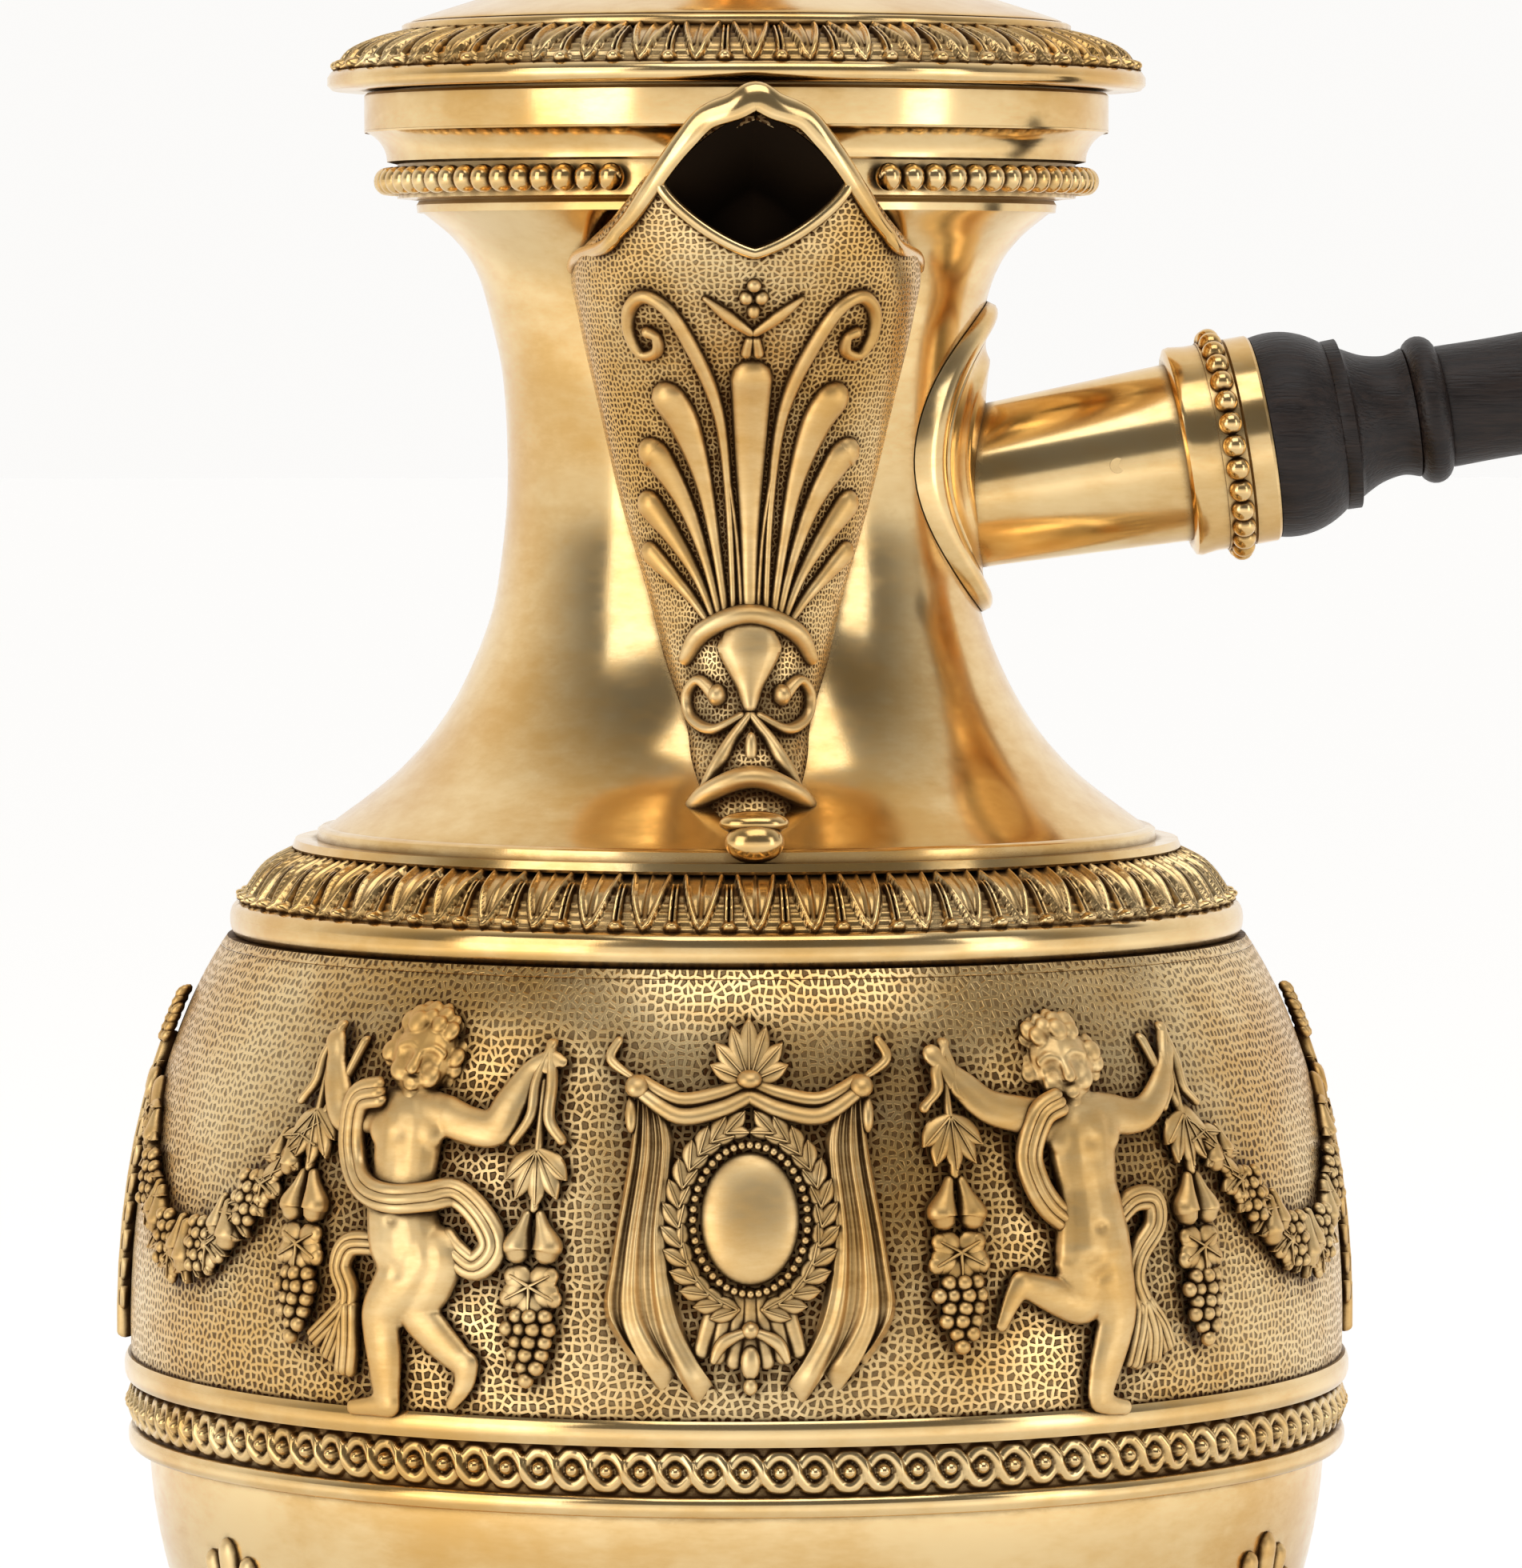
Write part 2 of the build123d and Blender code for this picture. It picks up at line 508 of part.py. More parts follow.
ball_end = SOCKET_END + BALL_LENGTH
step_end = ball_end + STEP_RING_LENGTH
cavetto_end = step_end + CAVETTO_LENGTH
torus_end = cavetto_end + TORUS_LENGTH
grip_end = torus_end + GRIP_LENGTH
tenon_radius = SOCKET_BORE - TENON_CLEARANCE
grip_curve = Spline(
    (GRIP_ROOT_RADIUS, torus_end),
    (GRIP_ROOT_RADIUS + 0.35, torus_end + GRIP_LENGTH * 0.14),
    (GRIP_SWELL_RADIUS, torus_end + GRIP_LENGTH * 0.72),
    (GRIP_SWELL_RADIUS * 0.86, torus_end + GRIP_LENGTH * 0.92),
    (END_BUTTON_RADIUS * 0.75, grip_end),
)
grip = turned(
    [(0, SOCKET_END - TENON_LENGTH), (tenon_radius, SOCKET_END - TENON_LENGTH), (tenon_radius, SOCKET_END),
     (BALL_RADIUS * 0.93, SOCKET_END)],
    ThreePointArc((BALL_RADIUS * 0.93, SOCKET_END), (BALL_RADIUS, SOCKET_END + BALL_LENGTH * 0.42),
                  (BALL_RADIUS * 0.8, ball_end)),
    [(BALL_RADIUS * 0.8, ball_end), (STEP_RING_RADIUS, ball_end), (STEP_RING_RADIUS, step_end),
     (STEP_RING_RADIUS * 0.85, step_end)],
    ThreePointArc((STEP_RING_RADIUS * 0.85, step_end), (CAVETTO_NECK_RADIUS, step_end + CAVETTO_LENGTH * 0.6),
                  (GRIP_ROOT_RADIUS * 1.05, cavetto_end)),
    ThreePointArc((GRIP_ROOT_RADIUS * 1.05, cavetto_end), (TORUS_RADIUS, cavetto_end + TORUS_LENGTH / 2),
                  (GRIP_ROOT_RADIUS, torus_end)),
    grip_curve,
    Spline((END_BUTTON_RADIUS * 0.75, grip_end), (END_BUTTON_RADIUS, grip_end + END_BUTTON_LENGTH * 0.45),
           (0, grip_end + END_BUTTON_LENGTH), tangents=[(1, 0.8), (-1, 0)]),
    [(0, grip_end + END_BUTTON_LENGTH), (0, SOCKET_END - TENON_LENGTH)],
)
save("handle_grip", handle_place * grip - handle_pin)

# ---------------------------------------------------------------- lid
LIP_TOP = LIP_Z + LIP_HEIGHT
lid_lip = ring(LIP_BORE, LIP_RADIUS, LIP_Z, LIP_TOP, edge=0.8)
save("lid_lip", lid_lip)
bezel_radius = MOUTH_BORE - BEZEL_CLEARANCE
save("lid_bezel", ring(bezel_radius - BEZEL_WALL, bezel_radius, LIP_Z - BEZEL_DEPTH, LIP_Z))

lid_leaf_foot = (LIP_RADIUS - 0.8, LID_LEAF_Z)
lid_leaf_top = (LID_LEAF_TOP_RADIUS, LID_FILLET_Z)
lid_leaf_curve = ThreePointArc(
    lid_leaf_foot, ((LIP_RADIUS + LID_LEAF_TOP_RADIUS) / 2 + 0.6, LID_LEAF_Z + LID_LEAF_HEIGHT * 0.66), lid_leaf_top
)
save(
    "lid_leaf_border",
    turned([lid_leaf_top, (LID_LEAF_BORE, LID_FILLET_Z), (LID_LEAF_BORE + 2.2, LID_LEAF_Z), lid_leaf_foot], lid_leaf_curve),
)
save("lid_fillet_ring", ring(LID_FILLET_BORE, LID_LEAF_TOP_RADIUS, LID_FILLET_Z, DOME_Z, edge=0.3))

dome_edge = LID_LEAF_TOP_RADIUS - DOME_EDGE_INSET
dome_outside = Spline(
    (dome_edge, DOME_Z + DOME_EDGE),
    (dome_edge * 0.825, DOME_Z + DOME_RISE * 0.07),
    (dome_edge * 0.61, DOME_Z + DOME_RISE * 0.25),
    (dome_edge * 0.35, DOME_Z + DOME_RISE * 0.62),
    (DOME_TOP_RADIUS, FINIAL_Z),
)
dome_inside = Spline(
    (DOME_TOP_RADIUS - DOME_WALL / 2, FINIAL_Z - DOME_WALL),
    (dome_edge * 0.33, DOME_Z + DOME_RISE * 0.62 - DOME_WALL),
    (dome_edge * 0.59, DOME_Z + DOME_RISE * 0.25 - DOME_WALL),
    (dome_edge * 0.81, DOME_Z),
)
stud_hole = STUD_RADIUS + STUD_CLEARANCE
save(
    "lid_dome",
    turned(
        [(dome_edge * 0.81, DOME_Z), (dome_edge, DOME_Z), dome_outside @ 0],
        dome_outside,
        [(DOME_TOP_RADIUS, FINIAL_Z), (stud_hole, FINIAL_Z), (stud_hole, FINIAL_Z - DOME_WALL), dome_inside @ 0],
        dome_inside,
    ),
)

# finial: a ringed base, a bud screwed on its stud, and a washer and nut under the dome
base = turned(
    [(stud_hole, FINIAL_Z), (FINIAL_BASE_RADIUS, FINIAL_Z), (FINIAL_BASE_RADIUS, FINIAL_Z + 1.6),
     (FINIAL_BASE_RADIUS * 0.8, FINIAL_Z + 1.6)],
    ThreePointArc((FINIAL_BASE_RADIUS * 0.8, FINIAL_Z + 1.6), (FINIAL_NECK_RADIUS, FINIAL_Z + 5.0),
                  (FINIAL_BASE_RADIUS * 0.75, BUD_Z - 1.6)),
    [(FINIAL_BASE_RADIUS * 0.75, BUD_Z - 1.6), (FINIAL_BASE_RADIUS * 0.9, BUD_Z - 1.6), (FINIAL_BASE_RADIUS * 0.9, BUD_Z),
     (stud_hole, BUD_Z), (stud_hole, FINIAL_Z)],
)
save("finial_base", base)
stud_low = FINIAL_Z - DOME_WALL - WASHER_THICKNESS - NUT_HEIGHT - 1.0
stud_high = stud_low + STUD_LENGTH
bud_foot = (FINIAL_BASE_RADIUS * 0.7, BUD_Z)
bud_curve = Spline(bud_foot, (BUD_RADIUS, BUD_Z + BUD_HEIGHT * 0.3), (BUD_RADIUS * 0.72, BUD_Z + BUD_HEIGHT * 0.66),
                   (1.4, BUD_Z + BUD_HEIGHT))
save(
    "finial_bud",
    turned([(stud_hole, BUD_Z), bud_foot], bud_curve,
           [bud_curve @ 1, (0, BUD_Z + BUD_HEIGHT), (0, stud_high + 0.5), (stud_hole, stud_high + 0.5), (stud_hole, BUD_Z)]),
)
save("finial_stud", Pos(0, 0, (stud_low + stud_high) / 2) * Cylinder(STUD_RADIUS, STUD_LENGTH))
washer_low = FINIAL_Z - DOME_WALL - WASHER_THICKNESS
save("finial_washer", ring(stud_hole, WASHER_RADIUS, washer_low, FINIAL_Z - DOME_WALL))
nut = RegularPolygon(NUT_FLATS / 2, 6, major_radius=False) - Circle(stud_hole)
save("finial_nut", Pos(0, 0, washer_low - NUT_HEIGHT) * extrude(nut, NUT_HEIGHT))

# ---------------------------------------------------------------- hinge
pitch = KNUCKLE_LENGTH + KNUCKLE_GAP
pin_bore = HINGE_PIN_RADIUS + PIN_CLEARANCE
hinge_place = Pos(0, HINGE_Y, HINGE_Z) * Rot(0, 90, 0)
hinge_length = 3 * KNUCKLE_LENGTH + 2 * KNUCKLE_GAP
pin_hole = hinge_place * Cylinder(pin_bore, 2 * hinge_length)
save("hinge_pin", hinge_place * Cylinder(HINGE_PIN_RADIUS, hinge_length))

knuckle = hinge_place * Cylinder(KNUCKLE_RADIUS, KNUCKLE_LENGTH)
strap = Pos(0, HINGE_Y - LIP_RADIUS / 2, LIP_Z + LIP_HEIGHT / 2) * Box(KNUCKLE_LENGTH, LIP_RADIUS, LIP_HEIGHT)
strap -= Pos(0, 0, LIP_Z) * Cylinder(LIP_RADIUS, 4 * LIP_HEIGHT)
save("lid_hinge_leaf", strap + knuckle - pin_hole)

bracket_top = HINGE_Z - KNUCKLE_RADIUS - KNUCKLE_GAP
bracket_depth = HINGE_Y + KNUCKLE_RADIUS - COLLAR_RADIUS / 2
bracket = Pos(0, COLLAR_RADIUS / 2 + bracket_depth / 2, bracket_top - BRACKET_HEIGHT / 2) * Box(
    hinge_length, bracket_depth, BRACKET_HEIGHT
)
bracket -= Pos(0, 0, bracket_top) * Cylinder(COLLAR_RADIUS, 4 * BRACKET_HEIGHT)
for side in (-1, 1):
    post_height = HINGE_Z - bracket_top
    bracket += Pos(side * pitch, HINGE_Y, bracket_top + post_height / 2) * Box(
        KNUCKLE_LENGTH, 2 * KNUCKLE_RADIUS, post_height
    )
    bracket += Pos(side * pitch, 0, 0) * knuckle
save("hinge_bracket", bracket - pin_hole)

# ---------------------------------------------------------------- mounts applied to the frieze
frieze_proud = frieze_arc(MOUNT_THICKNESS, FRIEZE_Z, SHOULDER_Z)
mount_jacket = turned(frieze_outside, [frieze_outside @ 1, frieze_proud @ 1], frieze_proud,
                      [frieze_proud @ 0, frieze_outside @ 0])


def applied(sketch, angle, level=FRIEZE_Z):
    """A cast mount cut to an outline and bent to the upper body, at an angle round from the spout."""
    pieces = (mount_jacket & facing(sketch, level)).solids()
    outer = [piece for piece in pieces if piece.center().Y < 0]
    return at_angle(angle) * max(outer, key=lambda solid: solid.volume)


# two dancing children, as chains of joints: x, height above the fillet, radius
TORSO = ((1.0, 34.0, 1.8), (0.4, 29.0, 4.3), (-0.6, 23.0, 3.8), (-1.0, 17.5, 4.2))
STRIDING = (
    ((1.6, 37.6, 2.9), (0.8, 33.0, 1.7)), TORSO,
    ((-3.2, 31.0, 1.7), (-7.8, 34.0, 1.5), (-11.0, 37.4, 1.1)),
    ((4.6, 30.8, 1.7), (11.4, 32.6, 1.5), (15.6, 36.2, 1.1)),
    ((-2.2, 15.6, 3.0), (-3.4, 8.8, 2.2), (-3.0, 2.4, 1.5), (-6.2, 1.2, 1.0)),
    ((0.6, 15.0, 2.9), (2.6, 10.2, 2.2), (6.2, 5.8, 1.5), (5.2, 2.8, 1.1)),
    ((2.0, 22.0, 1.2), (8.0, 20.6, 1.2), (6.4, 17.0, 1.0)),
    ((-3.0, 17.0, 1.2), (-8.2, 14.2, 1.4), (-8.2, 5.4, 1.8)),
)
DANCING = (
    ((-1.6, 37.6, 2.9), (-0.6, 33.0, 1.7)), tuple((-x + 0.4, y, r) for x, y, r in TORSO),
    ((-4.0, 31.6, 1.7), (-10.0, 32.4, 1.5), (-15.0, 36.8, 1.1)),
    ((4.0, 31.0, 1.7), (8.8, 33.6, 1.5), (11.4, 36.8, 1.1)),
    ((2.6, 15.0, 3.0), (4.0, 8.8, 2.2), (2.4, 2.6, 1.5), (5.4, 1.2, 1.0)),
    ((0.0, 14.6, 2.9), (-6.4, 13.8, 2.1), (-8.8, 10.4, 1.3)),
    ((3.6, 22.0, 1.2), (9.6, 19.6, 1.2), (6.6, 14.0, 1.2), (9.0, 6.4, 1.8)),
)
FIGURES = {"striding": (STRIDING, -PUTTO_ANGLE), "dancing": (DANCING, PUTTO_ANGLE)}
putti = []
for side, turn in (("front", 0.0), ("back", 180.0)):
    for pose, (chains, angle) in FIGURES.items():
        silhouette = Sketch()
        for chain in chains:
            silhouette += ridge_run(*chain)
        putti.append(applied(silhouette, angle + turn))
        save(f"putto_{pose}_{side}", putti[-1])

# what each child holds: a ribbon with fruit, leaves and grapes under it
DROP_HANG = ((0, 0, 0.7), (0, -9, 1.2), (0, -13, 2.6), (0, -20, 3.0), (0, -27, 1.4))
drops = []
for turn in (0.0, 180.0):
    for side in (-1, 1):
        for hand, angle in DROP_ANGLES.items():
            fruit_drop = applied(ridge_run(*DROP_HANG), side * angle + turn, FRIEZE_Z + DROP_LEVELS[hand])
            under_the_hand = (fruit_drop - putti).solids()
            drops.append(max(under_the_hand, key=lambda solid: solid.volume))
save("fruit_drops", *drops)

# coat of leaves round a plain oval, front and back
shield = ridge_run((0, SHIELD_HEIGHT - 2.2, 2.0), (0, SHIELD_HEIGHT * 0.78, 6.4), (0, SHIELD_HEIGHT * 0.3, 10.0),
                   (0, SHIELD_HEIGHT * 0.14, 5.0))
for side in (-1, 1):
    edge_x = side * (SHIELD_HALF_WIDTH - 2.0)
    shield += ridge_run((side * 2, SHIELD_HEIGHT * 0.86, 2.4), (edge_x * 0.9, SHIELD_HEIGHT * 0.74, 2.2),
                        (edge_x, SHIELD_HEIGHT * 0.42, 2.4), (edge_x * 0.76, SHIELD_HEIGHT * 0.2, 2.2))
    shield += ridge_run((0, SHIELD_HEIGHT * 0.5, 6.0), (edge_x * 0.8, SHIELD_HEIGHT * 0.5, 4.0))
    shield += ridge_run((0, SHIELD_HEIGHT * 0.2, 6.0), (edge_x * 0.76, SHIELD_HEIGHT * 0.3, 3.0))
for name, turn in (("front", 0.0), ("back", 180.0)):
    save(f"shield_{name}", applied(shield, turn, FRIEZE_Z + 0.6))

# a leafy staff at each side, where the swags meet
staff = ridge_run((0, 2, 1.3), (0, STAFF_LENGTH - 6, 1.3), (0, STAFF_LENGTH - 2, 2.6))
for side in (-1, 1):
    leaf_low, leaf_middle = (0, STAFF_LENGTH * 0.5, 1.2), (side * 3.4, STAFF_LENGTH * 0.62, 1.0)
    staff += ridge_run(leaf_low, leaf_middle, (side * 2.6, STAFF_LENGTH * 0.8, 0.8))
staffs = {"left": -90.0, "right": 90.0}
for name, angle in staffs.items():
    save(f"staff_{name}", applied(staff, angle, FRIEZE_Z + 0.6))

# swags of fruit from each child's outer hand to the staff
frieze_core = turned([(0, SHOULDER_Z), (0, FRIEZE_Z), frieze_outside @ 0], frieze_outside,
                     [frieze_outside @ 1, (0, SHOULDER_Z)])
swag = Part()
for fruit in range(SWAG_FRUITS):
    along = fruit / (SWAG_FRUITS - 1)
    z = FRIEZE_Z + SWAG_HANG - SWAG_FALL * sin(pi * along)
    place = SWAG_START_ANGLE + (STAFF_ANGLE - SWAG_START_ANGLE) * along
    radius = SWAG_RADIUS * (0.62 + 0.38 * sin(pi * along))
    swag += at_angle(place) * Pos(0, -frieze_radius(z), z) * Sphere(radius)
right_swag = max((swag - frieze_core).solids(), key=lambda solid: solid.volume)
left_swag = mirror(right_swag, Plane.YZ)
swags = [right_swag, left_swag, at_angle(180) * right_swag, at_angle(180) * left_swag]
save("swags", *swags)

# ---------------------------------------------------------------- legs
leg_outer = Spline(
    (BOWL_RADIUS * 0.985, LEG_TOP_Z), (LEG_KNEE_RADIUS, LEG_TOP_Z * 0.82), (LEG_KNEE_RADIUS - 3.0, LEG_TOP_Z * 0.6),
    (LEG_ANKLE_RADIUS + 1.6, LEG_TOP_Z * 0.32), (LEG_ANKLE_RADIUS + 2.0, PAW_HEIGHT * 1.4),
)
leg_inner = Spline(
    (LEG_ANKLE_RADIUS - 4.4, PAW_HEIGHT * 1.2), (LEG_ANKLE_RADIUS - 4.6, LEG_TOP_Z * 0.32),
    (LEG_KNEE_RADIUS - 10.5, LEG_TOP_Z * 0.6), (LEG_KNEE_RADIUS - 11.0, LEG_TOP_Z * 0.82),
)
leg_profile = outline(
    leg_outer,
    [leg_outer @ 1, (LEG_ANKLE_RADIUS + PAW_LENGTH * 0.52, PAW_HEIGHT), (LEG_ANKLE_RADIUS + PAW_LENGTH * 0.72, PAW_HEIGHT * 0.4),
     (LEG_ANKLE_RADIUS + PAW_LENGTH * 0.66, 0), (LEG_ANKLE_RADIUS - PAW_LENGTH * 0.34, 0), leg_inner @ 0],
    leg_inner,
    [leg_inner @ 1, (BOWL_RADIUS * 0.75, LEG_TOP_Z * 0.9), (BOWL_RADIUS * 0.75, LEG_TOP_Z), leg_outer @ 0],
)
leg_blank = extrude(Plane.XZ * leg_profile, LEG_THICKNESS / 2, both=True)
paw = Pos(LEG_ANKLE_RADIUS + PAW_LENGTH * 0.16, 0, PAW_HEIGHT / 2) * Box(PAW_LENGTH, PAW_WIDTH, PAW_HEIGHT)
paw = fillet(paw.edges().filter_by(Axis.Z), PAW_WIDTH * 0.3)
leg_casting = Rot(0, 0, -90) * (leg_blank + paw - bowl_core)
bowl_jacket = bowl_block(-PALMETTE_THICKNESS, UPPER_FILLET_Z) - bowl_core
palm = ridge_run((0, 0, PALMETTE_HALF_WIDTH * 0.55), (0, PALMETTE_HEIGHT * 0.55, PALMETTE_HALF_WIDTH * 0.5),
                 (0, PALMETTE_HEIGHT - 1.4, 1.4))
for side in (-1, 1):
    for reach, rise in ((1.0, 0.5), (0.68, 0.78)):
        palm += ridge_run((0, PALMETTE_HEIGHT * 0.2, 2.4),
                          (side * (PALMETTE_HALF_WIDTH * reach - 1.5), PALMETTE_HEIGHT * rise, 1.5))
palmette_foot = GIRDLE_Z - PALMETTE_HEIGHT - 6.0
palmette = max(
    [piece for piece in (bowl_jacket & facing(palm, palmette_foot)).solids() if piece.center().Y < 0],
    key=lambda solid: solid.volume,
) - leg_casting
for name, angle in LEG_ANGLES.items():
    save(f"leg_{name}", at_angle(angle) * leg_casting)
    save(f"leg_palmette_{name}", at_angle(angle) * max(palmette.solids(), key=lambda solid: solid.volume))
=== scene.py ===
import random
from math import acos, asin, atan2, cos, degrees, exp, pi, radians, sin, sqrt, tau

import bmesh
import bpy
from mathutils import Matrix, Vector


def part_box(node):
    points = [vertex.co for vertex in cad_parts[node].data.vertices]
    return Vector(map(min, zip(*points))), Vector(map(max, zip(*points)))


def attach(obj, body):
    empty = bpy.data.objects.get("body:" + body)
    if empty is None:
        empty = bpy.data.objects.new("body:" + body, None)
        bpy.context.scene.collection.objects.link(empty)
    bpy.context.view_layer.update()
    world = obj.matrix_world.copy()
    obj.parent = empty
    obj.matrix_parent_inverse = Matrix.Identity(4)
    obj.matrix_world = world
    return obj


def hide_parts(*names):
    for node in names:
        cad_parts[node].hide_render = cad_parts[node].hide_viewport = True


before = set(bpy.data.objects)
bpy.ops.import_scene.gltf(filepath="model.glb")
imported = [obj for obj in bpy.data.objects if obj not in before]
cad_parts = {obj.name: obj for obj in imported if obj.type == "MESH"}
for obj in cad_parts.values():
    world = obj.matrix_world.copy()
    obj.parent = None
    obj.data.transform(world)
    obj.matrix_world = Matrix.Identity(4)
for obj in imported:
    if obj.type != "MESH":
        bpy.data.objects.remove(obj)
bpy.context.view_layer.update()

# ---------------------------------------------------------------- body
# The vessel is raised from silver sheet in two halves, soldered at the girdle and gilt inside and out. The
# upper half is matted all over with a round punch; the lower half is planished and burnished.

MM = 0.001


def corners(node):
    """A node's lowest and highest corners, in millimetres."""
    low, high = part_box(node)
    return Vector(low) / MM, Vector(high) / MM


def smooth_line(points, steps=8):
    """A Catmull-Rom curve through a few points, which may have any number of values each."""
    ends = [points[0]] + list(points) + [points[-1]]
    line = []
    for a, b, c, d in zip(ends, ends[1:], ends[2:], ends[3:]):
        for step in range(steps):
            t = step / steps
            weights = (-t + 2 * t**2 - t**3, 2 - 5 * t**2 + 3 * t**3, t + 4 * t**2 - 3 * t**3, t**3 - t**2)
            line.append(tuple(sum(w * p[i] for w, p in zip(weights, (a, b, c, d))) / 2
                              for i in range(len(a))))
    return line + [tuple(points[-1])]


def arc(centre, half_width, half_height, start, end, steps=24):
    """Points of an ellipse's arc, radius and height, angles in degrees from the outward side."""
    angles = [radians(start + (end - start) * step / steps) for step in range(steps + 1)]
    return [(centre[0] + half_width * cos(a), centre[1] + half_height * sin(a)) for a in angles]


def sheet(columns, rows, place):
    """A grid of faces, each point put where place(u, v) says, with its seams closed."""
    bm = bmesh.new()
    bmesh.ops.create_grid(bm, x_segments=columns, y_segments=rows, size=0.5)
    for vert in bm.verts:
        vert.co = place(vert.co.x + 0.5, vert.co.y + 0.5)
    bmesh.ops.remove_doubles(bm, verts=bm.verts, dist=0.0004)
    bmesh.ops.recalc_face_normals(bm, faces=bm.faces)
    return bm


def turned(profile, steps=256, closed=False, relief=None):
    """A profile of radius and height turned about the pot's axis. A relief moves each point outwards by
    relief(turn, share of the profile); a closed profile's last two points are its back."""
    line = [Vector(point) for point in profile] + ([Vector(profile[0])] if closed else [])
    face = len(line) - 1 - (3 if closed and relief else 0)

    def place(u, v):
        row = round(v * (len(line) - 1))
        point = line[row].copy()
        if relief and row <= face:
            along = line[min(row + 1, face)] - line[max(row - 1, 0)]
            point += Vector((along.y, -along.x)).normalized() * relief(u, row / face)
        return Vector((point.x * sin(tau * u), -point.x * cos(tau * u), point.y))

    return sheet(steps, len(line) - 1, place)


def piece(name, bm, material, body, *nodes, crease=35, wrap=None):
    """Finishes a mesh made in millimetres as a smooth-shaded piece that stands for its nodes. Wrap is the
    radius and the axis's y of a cylinder that punch marks are laid out on."""
    if wrap:
        chart = bm.loops.layers.uv.new("chart")
        for face in bm.faces:
            turns = [atan2(loop.vert.co.x, wrap[1] - loop.vert.co.y) for loop in face.loops]
            seam = max(turns) - min(turns) > pi
            for loop, turn in zip(face.loops, turns):
                loop[chart].uv = ((turn + tau * (seam and turn < 0)) * wrap[0] * MM, loop.vert.co.z * MM)
    bmesh.ops.scale(bm, vec=(MM, MM, MM), verts=bm.verts)
    bmesh.ops.triangulate(bm, faces=[face for face in bm.faces if len(face.verts) > 4])
    for edge in bm.edges:
        edge.smooth = edge.calc_face_angle(0) < radians(crease)
    for face in bm.faces:
        face.smooth = True
    mesh = bpy.data.meshes.new(name)
    bm.to_mesh(mesh)
    bm.free()
    mesh.materials.append(material.material)
    made = bpy.data.objects.new(name, mesh)
    bpy.context.scene.collection.objects.link(made)
    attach(made, body)
    if nodes:
        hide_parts(*nodes)
    return made


class Wire:
    """A number socket of a material, so that shader maths reads as arithmetic."""

    def __init__(self, finish, socket):
        self.finish, self.socket = finish, socket

    def math(self, operation, other=None, swap=False):
        values = [self, other][:: -1 if swap else 1] if other is not None else [self]
        node = self.finish.node("Math", {"operation": operation}, dict(enumerate(values)))
        return Wire(self.finish, node.outputs[0])

    def __add__(self, other):
        return self.math("ADD", other)

    def __sub__(self, other):
        return self.math("SUBTRACT", other)

    def __rsub__(self, other):
        return self.math("SUBTRACT", other, swap=True)

    def __mul__(self, other):
        return self.math("MULTIPLY", other)

    def limit(self):
        self.socket.node.use_clamp = True
        return self

    __radd__ = __add__
    __rmul__ = __mul__


class Finish:
    """A metal or wood finish: a material with its Principled shader and the nodes that feed it."""

    def __init__(self, name, slot, **constants):
        self.material = bpy.data.materials.new(name)
        self.material.use_nodes = True
        self.tree = self.material.node_tree
        self.shader = self.tree.nodes["Principled BSDF"]
        self.slot = slot
        for label, value in constants.items():
            self.shader.inputs[label.replace("_", " ")].default_value = value
        self.place = self.node("TexCoord").outputs["Object"]

    def node(self, kind, settings=None, inputs=None):
        """Adds a node of a kind, with its settings first, and gives its sockets values or links."""
        node = self.tree.nodes.new("ShaderNode" + kind)
        for label, value in (settings or {}).items():
            setattr(node, label, value)
        for label, value in (inputs or {}).items():
            self.feed(node.inputs[label], value)
        return node

    def feed(self, socket, value):
        if isinstance(value, Wire):
            value = value.socket
        if isinstance(value, bpy.types.NodeSocket):
            self.tree.links.new(value, socket)
        else:
            socket.default_value = value

    def noise(self, pitch, detail=2.0, roughness=0.5, stretch=None):
        """Noise with a grain of about pitch millimetres, from 0 to 1."""
        place = self.place
        if stretch:
            place = self.node("Mapping", None, {"Vector": place, "Scale": stretch}).outputs[0]
        grain = {"Vector": place, "Scale": 1 / (pitch * MM), "Detail": detail, "Roughness": roughness}
        made = self.node("TexNoise", None, grain)
        return Wire(self, made.outputs["Fac"])

    def between(self, wire, low, high, first=0.0, last=1.0):
        """A value that goes from first to last as the wire goes from low to high, and stops there."""
        made = self.node(
            "MapRange",
            {"clamp": True, "interpolation_type": "SMOOTHSTEP"},
            {"Value": wire, "From Min": low, "From Max": high, "To Min": first, "To Max": last},
        )
        return Wire(self, made.outputs["Result"])

    def mixed(self, wire, first, last):
        """A colour from first to last as the wire goes from 0 to 1."""
        made = self.node("Mix", {"data_type": "RGBA"}, {"Factor": wire})
        self.feed(made.inputs[6], first)
        self.feed(made.inputs[7], last)
        return made.outputs[2]

    def recess(self, reach, samples=8):
        """How deep in a recess a point lies, from 0 in the open to 1, looking reach millimetres round."""
        made = self.node("AmbientOcclusion", {"samples": samples}, {"Distance": reach * MM})
        return 1.0 - Wire(self, made.outputs["AO"])

    def bump(self, height, depth, under=None):
        """A bump of depth millimetres."""
        made = self.node("Bump", None, {"Height": height, "Distance": depth * MM, "Strength": 1.0})
        if under is not None:
            self.feed(made.inputs["Normal"], under)
        return made.outputs["Normal"]


PALE_GOLD = (0.90, 0.665, 0.34, 1)
DEEP_GOLD = (0.72, 0.43, 0.14, 1)
# the dark brown of the recesses stands for patina and for painted shade at once
PATINA_AND_SHADE = (0.056, 0.021, 0.006, 1)


